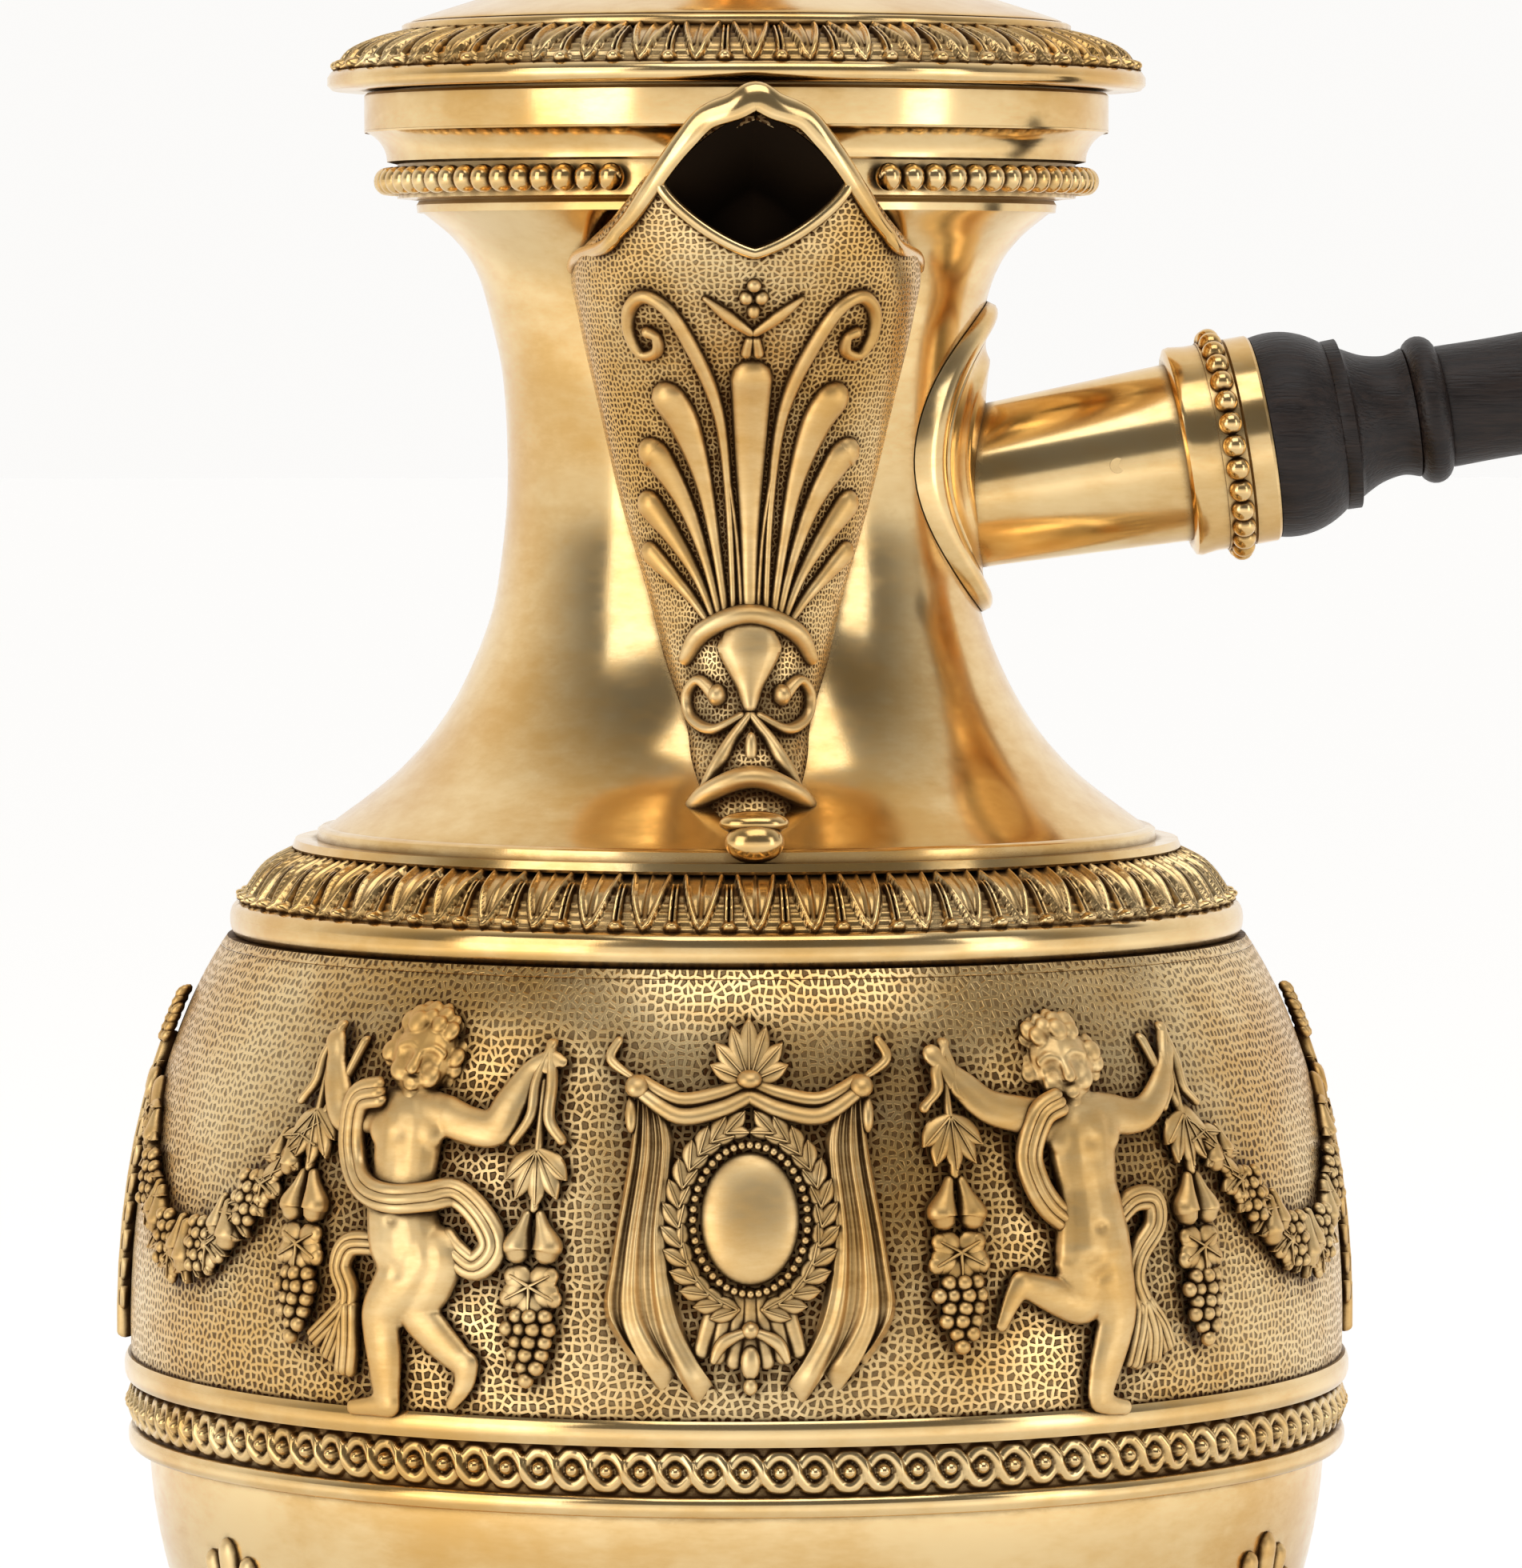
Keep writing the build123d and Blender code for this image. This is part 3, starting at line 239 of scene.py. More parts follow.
def gilt(name, slot, roughness, patina_and_shade=0.6, reach=1.2, wear=0.03, ground=None):
    """Gilding: pale where it is worn, deep where it is thick, with fine scratches, and darkened in the
    recesses by brown patina together with painted shade. A ground is the pitch of round punch marks."""
    finish = Finish(name, slot, Metallic=1.0)
    cloud = finish.noise(24, detail=4)
    smear = finish.noise(3.0, detail=5, roughness=0.7, stretch=(0.6, 0.6, 1.7))
    colour = finish.mixed(finish.between(cloud + 0.35 * smear, 0.45, 0.85), PALE_GOLD, DEEP_GOLD)
    # recesses found by ambient occlusion are darkened: partly the patina the gilding holds in its hollows,
    # partly painted shade where light does not reach
    patina_and_shade_depth = finish.recess(reach) + 0.22 * smear
    patina_and_painted_shade = finish.between(patina_and_shade_depth, 0.16, 0.36 if ground else 0.52, 0, patina_and_shade)
    matte = finish.between(smear, 0.35, 0.75, roughness - wear, roughness + wear)
    scratches = finish.noise(0.22, detail=2, stretch=(1.0, 1.0, 0.12))
    normal = finish.bump(scratches, 0.0016)
    if ground:
        chart = finish.node("UVMap", {"uv_map": "chart"}).outputs["UV"]
        cells = finish.node(
            "TexVoronoi",
            {"feature": "DISTANCE_TO_EDGE", "voronoi_dimensions": "2D"},
            {"Vector": chart, "Scale": 1 / (ground * MM), "Randomness": 0.72},
        )
        pit = finish.between(Wire(finish, cells.outputs["Distance"]) + 0.05 * smear, 0.17, 0.36, 0.0, 1.0)
        normal = finish.bump(1.0 - pit, ground * 0.26, normal)
        # the punch pits are darkened the same way, partly patina and partly painted shade
        patina_and_painted_shade = (patina_and_painted_shade + pit * finish.between(cloud + 0.8 * patina_and_painted_shade, 0.35, 0.85, 0.60, 1.0)).limit()
    finish.feed(finish.shader.inputs["Base Color"], finish.mixed(patina_and_painted_shade, colour, PATINA_AND_SHADE))
    finish.feed(finish.shader.inputs["Roughness"], (matte + 0.35 * patina_and_painted_shade).limit())
    finish.feed(finish.shader.inputs["Normal"], normal)
    return finish


burnished = gilt("burnished_gilt", "polished_gilt", roughness=0.17)
matted = gilt("matted_gilt", "matted_gilt", roughness=0.27, patina_and_shade=0.8, reach=4.5, ground=0.88)

WALL = 1.3
bowl_low = corners("body_lower")[0]
girdle_low = corners("lower_fillet")[0]
frieze_high = corners("body_upper")[1]
ledge_low, ledge_high = corners("upper_fillet")
BOWL_RADIUS = 62.6
BOWL_CENTRE = girdle_low.z + 1.9
BOWL_DEPTH = BOWL_CENTRE - bowl_low.z
FRIEZE_FOOT, FRIEZE_TOP = ledge_high.z, frieze_high.z
FRIEZE_CENTRE = (40.0, FRIEZE_FOOT + 3.2)
FRIEZE_HALF = (24.5, 50.2)


def frieze_radius(z):
    """Outside radius of the matted upper body."""
    rise = (z - FRIEZE_CENTRE[1]) / FRIEZE_HALF[1]
    return FRIEZE_CENTRE[0] + FRIEZE_HALF[0] * sqrt(max(0.0, 1 - rise**2))


def bowl_radius(z):
    """Outside radius of the burnished lower body."""
    return BOWL_RADIUS * sqrt(max(0.0, 1 - ((z - BOWL_CENTRE) / BOWL_DEPTH) ** 2))


outside = arc((0, BOWL_CENTRE), BOWL_RADIUS, BOWL_DEPTH, -90, -1.8, steps=48)
inside = arc((0, BOWL_CENTRE), BOWL_RADIUS - WALL, BOWL_DEPTH - WALL, -1.8, -90, steps=48)
top = [(BOWL_RADIUS, ledge_low.z), (BOWL_RADIUS - WALL, ledge_low.z)]
piece("lower_body", turned(outside + top + inside), burnished, "pot", "body_lower", crease=50)

start, end = [degrees(asin((z - FRIEZE_CENTRE[1]) / FRIEZE_HALF[1])) for z in (FRIEZE_FOOT, FRIEZE_TOP)]
outside = arc(FRIEZE_CENTRE, *FRIEZE_HALF, start, end, steps=40)
inside = [(r - WALL, z) for r, z in reversed(outside)]
drum = [(BOWL_RADIUS - WALL, FRIEZE_FOOT + 0.3), (BOWL_RADIUS - WALL, ledge_low.z),
        (BOWL_RADIUS, ledge_low.z), (BOWL_RADIUS, FRIEZE_FOOT)]
piece("upper_body", turned(outside + inside + drum, closed=True), matted, "pot", "body_upper", crease=50,
      wrap=(BOWL_RADIUS, 0.0))


# ---------------------------------------------------------------- girdle
# Two burnished fillets with a cast guilloche between them: a rope of two strands that cross and cross back,
# with a round boss in every eye.


def soft_ring(node, bulge=0.35, wall=2.4):
    """A drawn fillet with a soft outer face, from its node's corners."""
    low, high = corners(node)
    height = high.z - low.z
    face = [(high.x - bulge * (abs(2 * t - 1) ** 3), low.z + height * t)
            for t in [step / 12 for step in range(13)]]
    return turned([(high.x - wall, low.z)] + face + [(high.x - wall, high.z)], closed=True)


for node in ("lower_fillet", "upper_fillet"):
    piece(node.replace("fillet", "band"), soft_ring(node), burnished, "pot", node, crease=50)

chased = gilt("chased_gilt", "polished_gilt", roughness=0.2, patina_and_shade=0.95, reach=1.1)
GUILLOCHE_EYES = 116
EYE_STEPS = 18
ROPE_RELIEF = 1.15


def ridge(distance, half_width):
    """A round ridge's height over its centre line, from 1 to 0."""
    share = abs(distance) / half_width
    return sqrt(1 - share * share) if share < 1 else 0.0


def guilloche(turn, share):
    """Height of the band: two crossing strands, one always over the other, and a ball in each eye."""
    along = turn * GUILLOCHE_EYES % 1.0
    across, up = (along - 0.5) * 3.4, (2 * share - 1) * 2.55
    slope = 1 / sqrt(1 + (1.45 * cos(pi * along)) ** 2)
    under = 0.62 * ridge((up - 1.62 * sin(pi * along)) * slope, 0.75)
    over = 0.62 * ridge((up + 1.62 * sin(pi * along)) * slope, 0.75)
    if along > 0.5:
        under, over = over, under
    crossing = 0.45 * (1 - min(1.0, min(along, 1 - along) / 0.34))
    ball = 1.25 * ridge(sqrt(across * across + up * up), 0.84)
    return ROPE_RELIEF * max(under, over + crossing * (over > 0), ball)


low, high = corners("guilloche_band")
ground = high.x - ROPE_RELIEF
face = [(ground, low.z + (high.z - low.z) * step / 28) for step in range(29)]
back = [(ground - 1.2, high.z), (ground - 1.2, low.z)]
band = turned(face + back, GUILLOCHE_EYES * EYE_STEPS, closed=True, relief=guilloche)
piece("guilloche", band, chased, "pot", "guilloche_band", crease=70)

# ---------------------------------------------------------------- shoulder
# A rounded rim, a border of pointed leaves that hang between stems tipped with small balls on a ribbed
# ground, and a stepped ring under the neck.
rim_low, rim_high = corners("shoulder_rim")
step_low, step_high = corners("neck_foot_ring")
leaf_low, leaf_high = corners("shoulder_leaf_border")
RIM_BULGE = 1.1
face = [
    (rim_high.x - RIM_BULGE * (1 - sqrt(max(0.0, 1 - abs(2 * t - 1) ** 2.4))),
     rim_low.z + (rim_high.z - rim_low.z) * t)
    for t in [step / 20 for step in range(21)]
]
RIM_FOOT = rim_low.z - 0.9
rim = [(46, RIM_FOOT), (frieze_radius(RIM_FOOT) + 0.05, RIM_FOOT)] + face + [(46, rim_high.z)]
piece("shoulder_roll", turned(rim, closed=True), burnished, "pot", "shoulder_rim", crease=60)

SHOULDER_LEAVES = 57


def leaf_border(relief, units=SHOULDER_LEAVES):
    """The height of a leaf border: leaves hang tip outwards, stems with balls stand between them."""

    def height(turn, share):
        along = turn * units % 1.0
        across = min(along, 1 - along)
        down = 1 - share
        width = 0.40 * (1 - down**1.4) ** 0.9 if down < 1 else 0.0
        leaf = 0.0
        if across < width:
            leaf = 0.30 + 0.50 * ridge(width - across - 0.05, 0.055) + 0.35 * ridge(across, 0.035)
        stem_gap = abs(along - 0.5)
        stem = 0.75 * ridge(stem_gap - 0.045, 0.04) * (0.2 < down < 0.84)
        ball = 1.5 * ridge(sqrt(stem_gap**2 + ((down - 0.87) * 1.5) ** 2), 0.15)
        rungs = 0.22 * (0.5 + 0.5 * cos(tau * down * 8)) * (down > 0.3)
        return relief * max(leaf, stem, ball, rungs)

    return height


LEAF_RELIEF = 0.95
curve = smooth_line(
    [(rim_high.x - 0.9, leaf_low.z + 0.1), (rim_high.x - 1.9, leaf_low.z + 1.9),
     (step_high.x + 3.0, leaf_high.z - 1.5), (step_high.x + 0.1, leaf_high.z)], steps=10)
curve = [(r - LEAF_RELIEF * 0.7, z - LEAF_RELIEF * 0.45) for r, z in curve]
back = [(44, leaf_high.z - 0.3), (44, leaf_low.z)]
leaves = turned(curve + back, SHOULDER_LEAVES * 34, closed=True, relief=leaf_border(LEAF_RELIEF))
piece("shoulder_leaves", leaves, chased, "pot", "shoulder_leaf_border", crease=70)

step_top = step_low.z + 1.1
steps = [(42.2, step_low.z), (step_high.x - 0.2, step_low.z), (step_high.x, step_low.z + 0.3),
         (step_high.x - 0.3, step_top), (44.6, step_top), (44.5, step_high.z - 0.3), (44.1, step_high.z),
         (42.2, step_high.z)]
piece("neck_steps", turned(steps, closed=True), burnished, "pot", "neck_foot_ring", crease=40)

# ---------------------------------------------------------------- neck
# One raised trumpet, burnished until it mirrors the room.
neck_low, neck_high = corners("neck")
NECK_WAIST = 24.3
WAIST_RISE = 36.6
FOOT_FLARE = neck_high.x - NECK_WAIST
TOP_FLARE = 8.9
TOP_RISE = neck_high.z - neck_low.z - WAIST_RISE
neck_shape = [(NECK_WAIST + FOOT_FLARE * out, neck_low.z + WAIST_RISE * up)
              for out, up in ((1, 0), (0.592, 0.166), (0.309, 0.352), (0.11, 0.582), (0.037, 0.768), (0, 1))]
neck_shape += [(NECK_WAIST + TOP_FLARE * out, neck_high.z - TOP_RISE * (1 - up))
               for out, up in ((0.045, 0.36), (0.19, 0.597), (0.36, 0.777), (0.618, 0.898), (1, 1))]
neck_line = smooth_line(neck_shape, steps=12)


def neck_radius(z):
    """Outside radius of the neck."""
    for (r0, z0), (r1, z1) in zip(neck_line, neck_line[1:]):
        if z0 <= z <= z1:
            return r0 + (r1 - r0) * (z - z0) / (z1 - z0)
    return neck_line[0][0] if z < neck_low.z else neck_line[-1][0]


neck = turned(neck_line + [(r - 1.2, z) for r, z in reversed(neck_line)], closed=True)
piece("neck_trumpet", neck, burnished, "pot", "neck", crease=60)

# ---------------------------------------------------------------- collar
# A cast collar round the mouth: a fillet, a ring of beads, a hollow, and a plain upright band for the lid's
# seat.
collar_low, collar_high = corners("collar")
bead_low, bead_high = corners("collar_bead_ring")
SEAT = 36.6
hollow = arc((40.9, bead_high.z + 0.6), 3.9, 3.5, 180, 112, steps=10)
collar = [(32.0, collar_low.z), (33.8, collar_low.z), (33.9, collar_low.z + 0.8), (33.6, collar_low.z + 1.3),
          (SEAT - 0.7, collar_low.z + 1.5), (SEAT - 0.7, bead_high.z + 0.35)] + hollow + [
          (collar_high.x - 0.05, collar_high.z - 4.2), (collar_high.x, collar_high.z - 4.0),
          (collar_high.x, collar_high.z - 0.3), (collar_high.x - 0.3, collar_high.z), (36.9, collar_high.z),
          (36.9, collar_high.z - 5.4), (35.2, collar_high.z - 6.4), (35.2, collar_low.z + 2.4)]
piece("collar_ring", turned(collar, closed=True), burnished, "pot", "collar", crease=35)


def stamped(mesh_of_one, spots):
    """Copies of one small mesh, one at each spot."""
    one = bpy.data.meshes.new("one")
    mesh_of_one.to_mesh(one)
    mesh_of_one.free()
    bm = bmesh.new()
    for spot in spots:
        copy = one.copy()
        copy.transform(spot)
        bm.from_mesh(copy)
        bpy.data.meshes.remove(copy)
    bpy.data.meshes.remove(one)
    return bm


def bead(width, tall, segments=16):
    """One bead, a little barrel."""
    bm = bmesh.new()
    size = Matrix.Diagonal((width / 2, width / 2, tall / 2, 1))
    bmesh.ops.create_uvsphere(bm, u_segments=segments, v_segments=segments * 3 // 4, radius=1, matrix=size)
    return bm


def around(count, radius, height, start=0.0, end=1.0):
    """Evenly spaced spots round the pot's axis, each with its own outward side at -Y."""
    turns = [(index + 0.5) / count for index in range(count) if start <= (index + 0.5) / count <= end]
    return [
        Matrix.Rotation(tau * turn, 4, "Z") @ Matrix.Translation((0, -radius, height)) for turn in turns
    ]


COLLAR_BEADS = 88
SPOUT_SHARE = 0.055
spots = around(COLLAR_BEADS, bead_high.x - 1.45, (bead_low.z + bead_high.z) / 2, SPOUT_SHARE, 1 - SPOUT_SHARE)
piece("collar_beads", stamped(bead(2.75, 2.9), spots), chased, "pot", "collar_bead_ring", crease=80)

# ---------------------------------------------------------------- spout
# A beak raised by hand and soldered to the neck, matted with a fine punch between burnished edges. Its
# mouth is bound with a plain strip that rises in a point and runs down both sides.
fine_matted = gilt("fine_matted_gilt", "matted_gilt", roughness=0.27, patina_and_shade=0.9, reach=2.0, ground=0.58)
spout_low, spout_high = corners("spout")
SPOUT_RISE = 53.3
SPOUT_ROWS = 120
SPOUT_COLUMNS = 96
# share of the height up to the lip, half-width, reach beyond the neck's waist, and how far the sides fall
# back
SPOUT_SHAPE = smooth_line((
    (0.0, 6.2, 16.2, 9.0), (0.10, 6.7, 13.4, 9.0), (0.2, 7.6, 9.8, 9.2), (0.4, 9.9, 8.6, 8.4),
    (0.6, 12.9, 8.9, 8.4),
    (0.8, 15.4, 12.6, 10.6), (0.95, 17.2, 18.0, 15.0), (1.06, 17.8, 21.4, 18.0), (1.15, 13.8, 22.4, 8.2),
    (1.25, 9.8, 23.2, 3.6), (1.33, 5.6, 23.6, 1.6), (1.387, 0.5, 23.9, 0.3)), steps=14)
MOUTH_TOP = spout_high.z - 2.3
MOUTH_LOW = spout_high.z - 16.6
MOUTH_MIDDLE = spout_high.z - 9.7
MOUTH_HALF = 9.5
MOUTH_SHAPE = 1.3  # 1 is a diamond and 2 an oval


def spout_row(share):
    """Half-width, reach and fall of the spout at a share of its height."""
    for (s0, *low_row), (s1, *high_row) in zip(SPOUT_SHAPE, SPOUT_SHAPE[1:]):
        if s0 <= share <= s1:
            t = (share - s0) / (s1 - s0)
            return [a + (b - a) * t for a, b in zip(low_row, high_row)]
    return SPOUT_SHAPE[-1][1:]


def spout_front(x, z, lift=0.0):
    """A point on the spout's face, x across and z up, lifted off it."""
    half, reach, fall = spout_row((z - spout_low.z) / SPOUT_RISE)
    share = min(1.0, abs(x) / half)
    angle = asin(share)
    depth = NECK_WAIST + reach - fall * (1 - cos(angle))
    return Vector((x + lift * share * (1 if x > 0 else -1), -(depth + lift * cos(angle)), z))


def spout_skin(u, v):
    z = spout_low.z + (spout_high.z - spout_low.z) * v
    half, reach, fall = spout_row((z - spout_low.z) / SPOUT_RISE)
    angle = (u - 0.5) * pi
    depth = NECK_WAIST + reach - fall * (1 - cos(angle))
    back = 1 - min(1.0, (1 - abs(2 * u - 1)) / 0.10)
    return Vector((half * sin(angle), -(depth - min(6.0, fall * 0.5) * back), z))


def mouth_share(x, z):
    """How far out a point lies from the mouth's middle: 1 on the mouth's edge, which is a soft diamond."""
    up = z - MOUTH_MIDDLE
    tall = (MOUTH_TOP - MOUTH_MIDDLE) if up > 0 else (MOUTH_MIDDLE - MOUTH_LOW)
    return (abs(x) / MOUTH_HALF) ** MOUTH_SHAPE + (abs(up) / tall) ** MOUTH_SHAPE


def on_spout(x, z, lift=0.0):
    return spout_front(x, max(z, spout_low.z), lift)


skin = sheet(SPOUT_COLUMNS, SPOUT_ROWS, spout_skin)
inside_mouth = [face for face in skin.faces
                if mouth_share(*face.calc_center_median().xz) < 1
                and face.calc_center_median().y < -NECK_WAIST]
bmesh.ops.delete(skin, geom=inside_mouth, context="FACES")
for vert in skin.verts:
    share = mouth_share(vert.co.x, vert.co.z)
    if vert.is_boundary and 0.5 < share < 1.6 and vert.co.y < -NECK_WAIST - 8:
        pull = share ** (-1 / MOUTH_SHAPE)
        vert.co.x *= pull
        vert.co.z = MOUTH_MIDDLE + (vert.co.z - MOUTH_MIDDLE) * pull
bmesh.ops.solidify(skin, geom=skin.faces[:], thickness=0.9)
bmesh.ops.recalc_face_normals(skin, faces=skin.faces)
piece("spout_beak", skin, fine_matted, "pot", "spout", crease=60, wrap=(26.0, -14.0))


def joined(parts):
    """Several meshes made in millimetres as one."""
    bm = bmesh.new()
    for part in parts:
        mesh = bpy.data.meshes.new("part")
        part.to_mesh(mesh)
        part.free()
        bm.from_mesh(mesh)
        bpy.data.meshes.remove(mesh)
    return bm


def swept(stations, sides=12):
    """A round-ended bar along stations of centre, half-width, half-height and outward side."""
    tangents = [(b[0] - a[0]).normalized() for a, b in zip(stations, stations[1:])]
    tangents = [tangents[0]] + [(a + b).normalized() for a, b in zip(tangents, tangents[1:])] + [tangents[-1]]
    stations = [(*station, tangent) for station, tangent in zip(stations, tangents)]
    for end, sign in ((0, -1), (-1, 1)):
        centre, width, height, up, tangent = stations[end]
        caps = [(centre + tangent * sign * width * out, width * size, height * size, up, tangent)
                for out, size in ((0.5, 0.86), (0.86, 0.5), (1.0, 0.002))]
        stations = caps[::-1] + stations if end == 0 else stations + caps

    def place(u, v):
        centre, width, height, up, tangent = stations[round(v * (len(stations) - 1))]
        side = tangent.cross(up).normalized()
        return centre + side * width * cos(tau * u) + side.cross(tangent) * height * sin(tau * u)

    return sheet(sides, len(stations) - 1, place)


def raised(points, surface, steps=6, sides=12, lift=0.0):
    """A bar laid on a surface along points of across, up, half-width and half-height."""
    stations = []
    for across, up, width, height in smooth_line(points, steps):
        centre = surface(across, up, lift)
        stations.append((centre, width, height, (surface(across, up, lift + 1) - centre).normalized()))
    return swept(stations, sides)


def knob(surface, across, up, width, tall, depth, lift=0.0, segments=16):
    """A round boss laid on a surface."""
    centre = surface(across, up, lift)
    out = (surface(across, up, lift + 1) - centre).normalized()
    side = (surface(across + 0.5, up, lift) - centre).normalized()
    turn = Matrix((side, out.cross(side), out)).transposed().to_4x4()
    bm = bmesh.new()
    size = Matrix.Diagonal((width, tall, depth, 1))
    bmesh.ops.create_uvsphere(bm, u_segments=segments, v_segments=segments // 2, radius=1,
                              matrix=Matrix.Translation(centre) @ turn @ size)
    return bm


# the burnished strip that binds the mouth, from tail to tail over the point, and the thin lip under it
LIP_WIDTH = 1.3
LIP_ANGLE = radians(62)
strip_side = [(17.9, -23.5, 243.6), (17.4, -28.5, 244.6)]
for share in (1.09, 1.12, 1.15, 1.20, 1.25, 1.29, 1.33):
    half, reach, fall = spout_row(share)
    strip_side.append((half * sin(LIP_ANGLE), -(NECK_WAIST + reach - fall * (1 - cos(LIP_ANGLE)) + 0.2),
                       spout_low.z + SPOUT_RISE * share))
strip_side += [(2.1, -48.3, spout_high.z - 1.9), (0.0, -48.5, spout_high.z - 0.9)]
strip = [Vector((-x, y, z)) for x, y, z in strip_side] + [Vector(point) for point in strip_side[-2::-1]]
strip = [Vector(point) for point in smooth_line([tuple(point) for point in strip], steps=8)]
outward = [Vector((point.x * 0.05, -1.0, 0.30)).normalized() for point in strip]
middle = (len(strip) - 1) / 2
widths = [LIP_WIDTH * (0.60 + 0.65 * (1 - abs(i - middle) / middle) ** 1.6) for i in range(len(strip))]
lips = [swept([(point, width, 0.62, out) for point, width, out in zip(strip, widths, outward)], sides=14)]
edge = []
for step in range(41):
    angle = radians(176 + 188 * step / 40)
    x = MOUTH_HALF * (1 if cos(angle) > 0 else -1) * abs(cos(angle)) ** (2 / MOUTH_SHAPE)
    z = MOUTH_MIDDLE - (MOUTH_MIDDLE - MOUTH_LOW) * abs(sin(angle)) ** (2 / MOUTH_SHAPE)
    edge.append(on_spout(x, z))
lips.append(swept([(point, 0.62, 0.62, Vector((0, -1, 0))) for point in edge], sides=12))
piece("spout_lip", joined(lips), burnished, "pot", crease=60)

# the inside of the beak, a near-black sheet of painted shade set where the mouth lies in shadow, narrows to
# the channel behind
throat_shade = Finish("throat_painted_shade", "polished_gilt", Metallic=1.0, Base_Color=(0.016, 0.010, 0.006, 1),
                   Roughness=0.5)
EDGE_STEPS = 64
edge_loop = []
for step in range(EDGE_STEPS):
    angle = tau * step / EDGE_STEPS
    right = 1 if cos(angle) > 0 else -1
    tall = MOUTH_TOP - MOUTH_MIDDLE if sin(angle) > 0 else MOUTH_LOW - MOUTH_MIDDLE
    edge_loop.append((MOUTH_HALF * right * abs(cos(angle)) ** (2 / MOUTH_SHAPE),
                      MOUTH_MIDDLE + tall * abs(sin(angle)) ** (2 / MOUTH_SHAPE)))


def throat(u, v):
    x, z = edge_loop[round(u * EDGE_STEPS) % EDGE_STEPS]
    start = on_spout(x, z, -0.3)
    end = Vector((x * 0.45, -39.9, 246.0 + (z - MOUTH_MIDDLE) * 0.5))
    return start.lerp(end, v) if v < 0.99 else Vector((0, -39.6, 246.0))


funnel = sheet(EDGE_STEPS, 10, throat)
bmesh.ops.solidify(funnel, geom=funnel.faces[:], thickness=-0.25)
piece("beak_inside", funnel, throat_shade, "pot", crease=60)


def sided(side, points):
    """Points of the left (-1) or right (1) one of a mirrored pair."""
    return [(side * across, *rest) for across, *rest in points]


satin = gilt("satin_gilt", "satin_gilt", roughness=0.45, patina_and_shade=0.95, reach=1.5, wear=0.05)
ornaments = [raised(((0, 208.5, 0.8, 0.8), (0, 217, 1.1, 1.0), (0, 226, 1.8, 1.3), (0, 232.3, 2.2, 1.5)),
                    on_spout)]
# the palmette's leaves, scrolls and stems on the spout's right half: across, up, half-width and half-height
LEAVES = (
    ((2.4, 208.2, 0.45, 0.7), (3.4, 215.0, 0.6, 0.8), (4.7, 221.8, 1.0, 1.0), (6.7, 227.6, 1.7, 1.3),
     (8.3, 230.2, 1.9, 1.4)),
    ((3.0, 208.0, 0.45, 0.7), (4.4, 213.6, 0.6, 0.8), (6.4, 219.2, 1.0, 1.0), (8.9, 223.6, 1.6, 1.2),
     (9.8, 224.6, 1.7, 1.3)),
    ((3.6, 207.8, 0.45, 0.7), (5.2, 211.8, 0.6, 0.8), (7.4, 215.6, 1.0, 1.0), (10.0, 219.2, 1.6, 1.2)),
    ((4.2, 207.4, 0.45, 0.7), (5.8, 209.7, 0.6, 0.8), (7.8, 212.0, 0.9, 0.9), (9.8, 214.2, 1.3, 1.1)),
    ((1.6, 208.3, 0.4, 0.7), (2.0, 218.0, 0.45, 0.8), (2.7, 226.0, 0.6, 0.9), (3.9, 230.8, 0.75, 1.0),
     (6.2, 235.6, 0.8, 1.0), (8.6, 239.2, 0.8, 1.0), (10.9, 240.5, 0.75, 1.0), (12.3, 239.2, 0.7, 1.0),
     (12.2, 236.6, 0.65, 0.9), (10.9, 234.6, 0.6, 0.9), (9.5, 235.0, 0.6, 0.9), (9.6, 236.4, 0.6, 0.9),
     (10.5, 236.9, 0.7, 1.0)),
    ((0.8, 208.3, 0.3, 0.7), (1.3, 216.0, 0.3, 0.7), (2.3, 223.0, 0.35, 0.8), (3.0, 229.0, 0.3, 0.7)),
    ((0.3, 236.9, 0.5, 0.7), (2.4, 238.4, 0.7, 0.8), (4.9, 240.3, 0.3, 0.6)),
    ((0.3, 236.2, 0.5, 0.7), (0.6, 234.8, 0.6, 0.7)),
    ((3.4, 199.6, 0.8, 1.1), (5.0, 201.2, 0.6, 1.0), (6.1, 199.6, 0.6, 1.0), (5.6, 197.2, 0.6, 1.0),
     (3.6, 196.2, 0.6, 1.0), (0.9, 197.6, 0.5, 0.9)),
    ((0.2, 197.6, 0.5, 0.9), (2.0, 195.0, 0.7, 1.1), (3.6, 192.2, 0.8, 1.1), (4.5, 190.0, 0.8, 1.1)),
)
for leaf in LEAVES:
    for side in (-1, 1):
        ornaments.append(raised(sided(side, leaf), on_spout))
ARCH = ((-6.3, 203.4, 0.8, 1.0), (-4.6, 206.2, 1.1, 1.3), (0, 208.0, 1.2, 1.6), (4.6, 206.2, 1.1, 1.3),
        (6.3, 203.4, 0.8, 1.0))
ornaments.append(raised(ARCH, on_spout))
FOOT_ARCH = ((-5.6, 187.6, 1.0, 1.3), (-3.9, 190.0, 1.1, 1.6), (0, 191.6, 1.2, 1.9), (3.9, 190.0, 1.1, 1.6),
             (5.6, 187.6, 1.0, 1.3))
ornaments.append(raised(FOOT_ARCH, on_spout, lift=0.5))
CALYX = ((0, 198.4, 0.7, 1.1), (0, 200.6, 1.5, 1.3), (0, 203.4, 2.9, 1.4), (0, 204.6, 3.3, 1.3))
ornaments.append(raised(CALYX, on_spout))
for side in (-1, 1):
    ornaments.append(knob(on_spout, side * 3.2, 199.7, 1.0, 1.2, 1.5))
    ornaments.append(knob(on_spout, side * 0.75, 240.4, 0.75, 0.8, 0.8))
ornaments.append(knob(on_spout, 0, 241.6, 0.75, 0.75, 0.8))
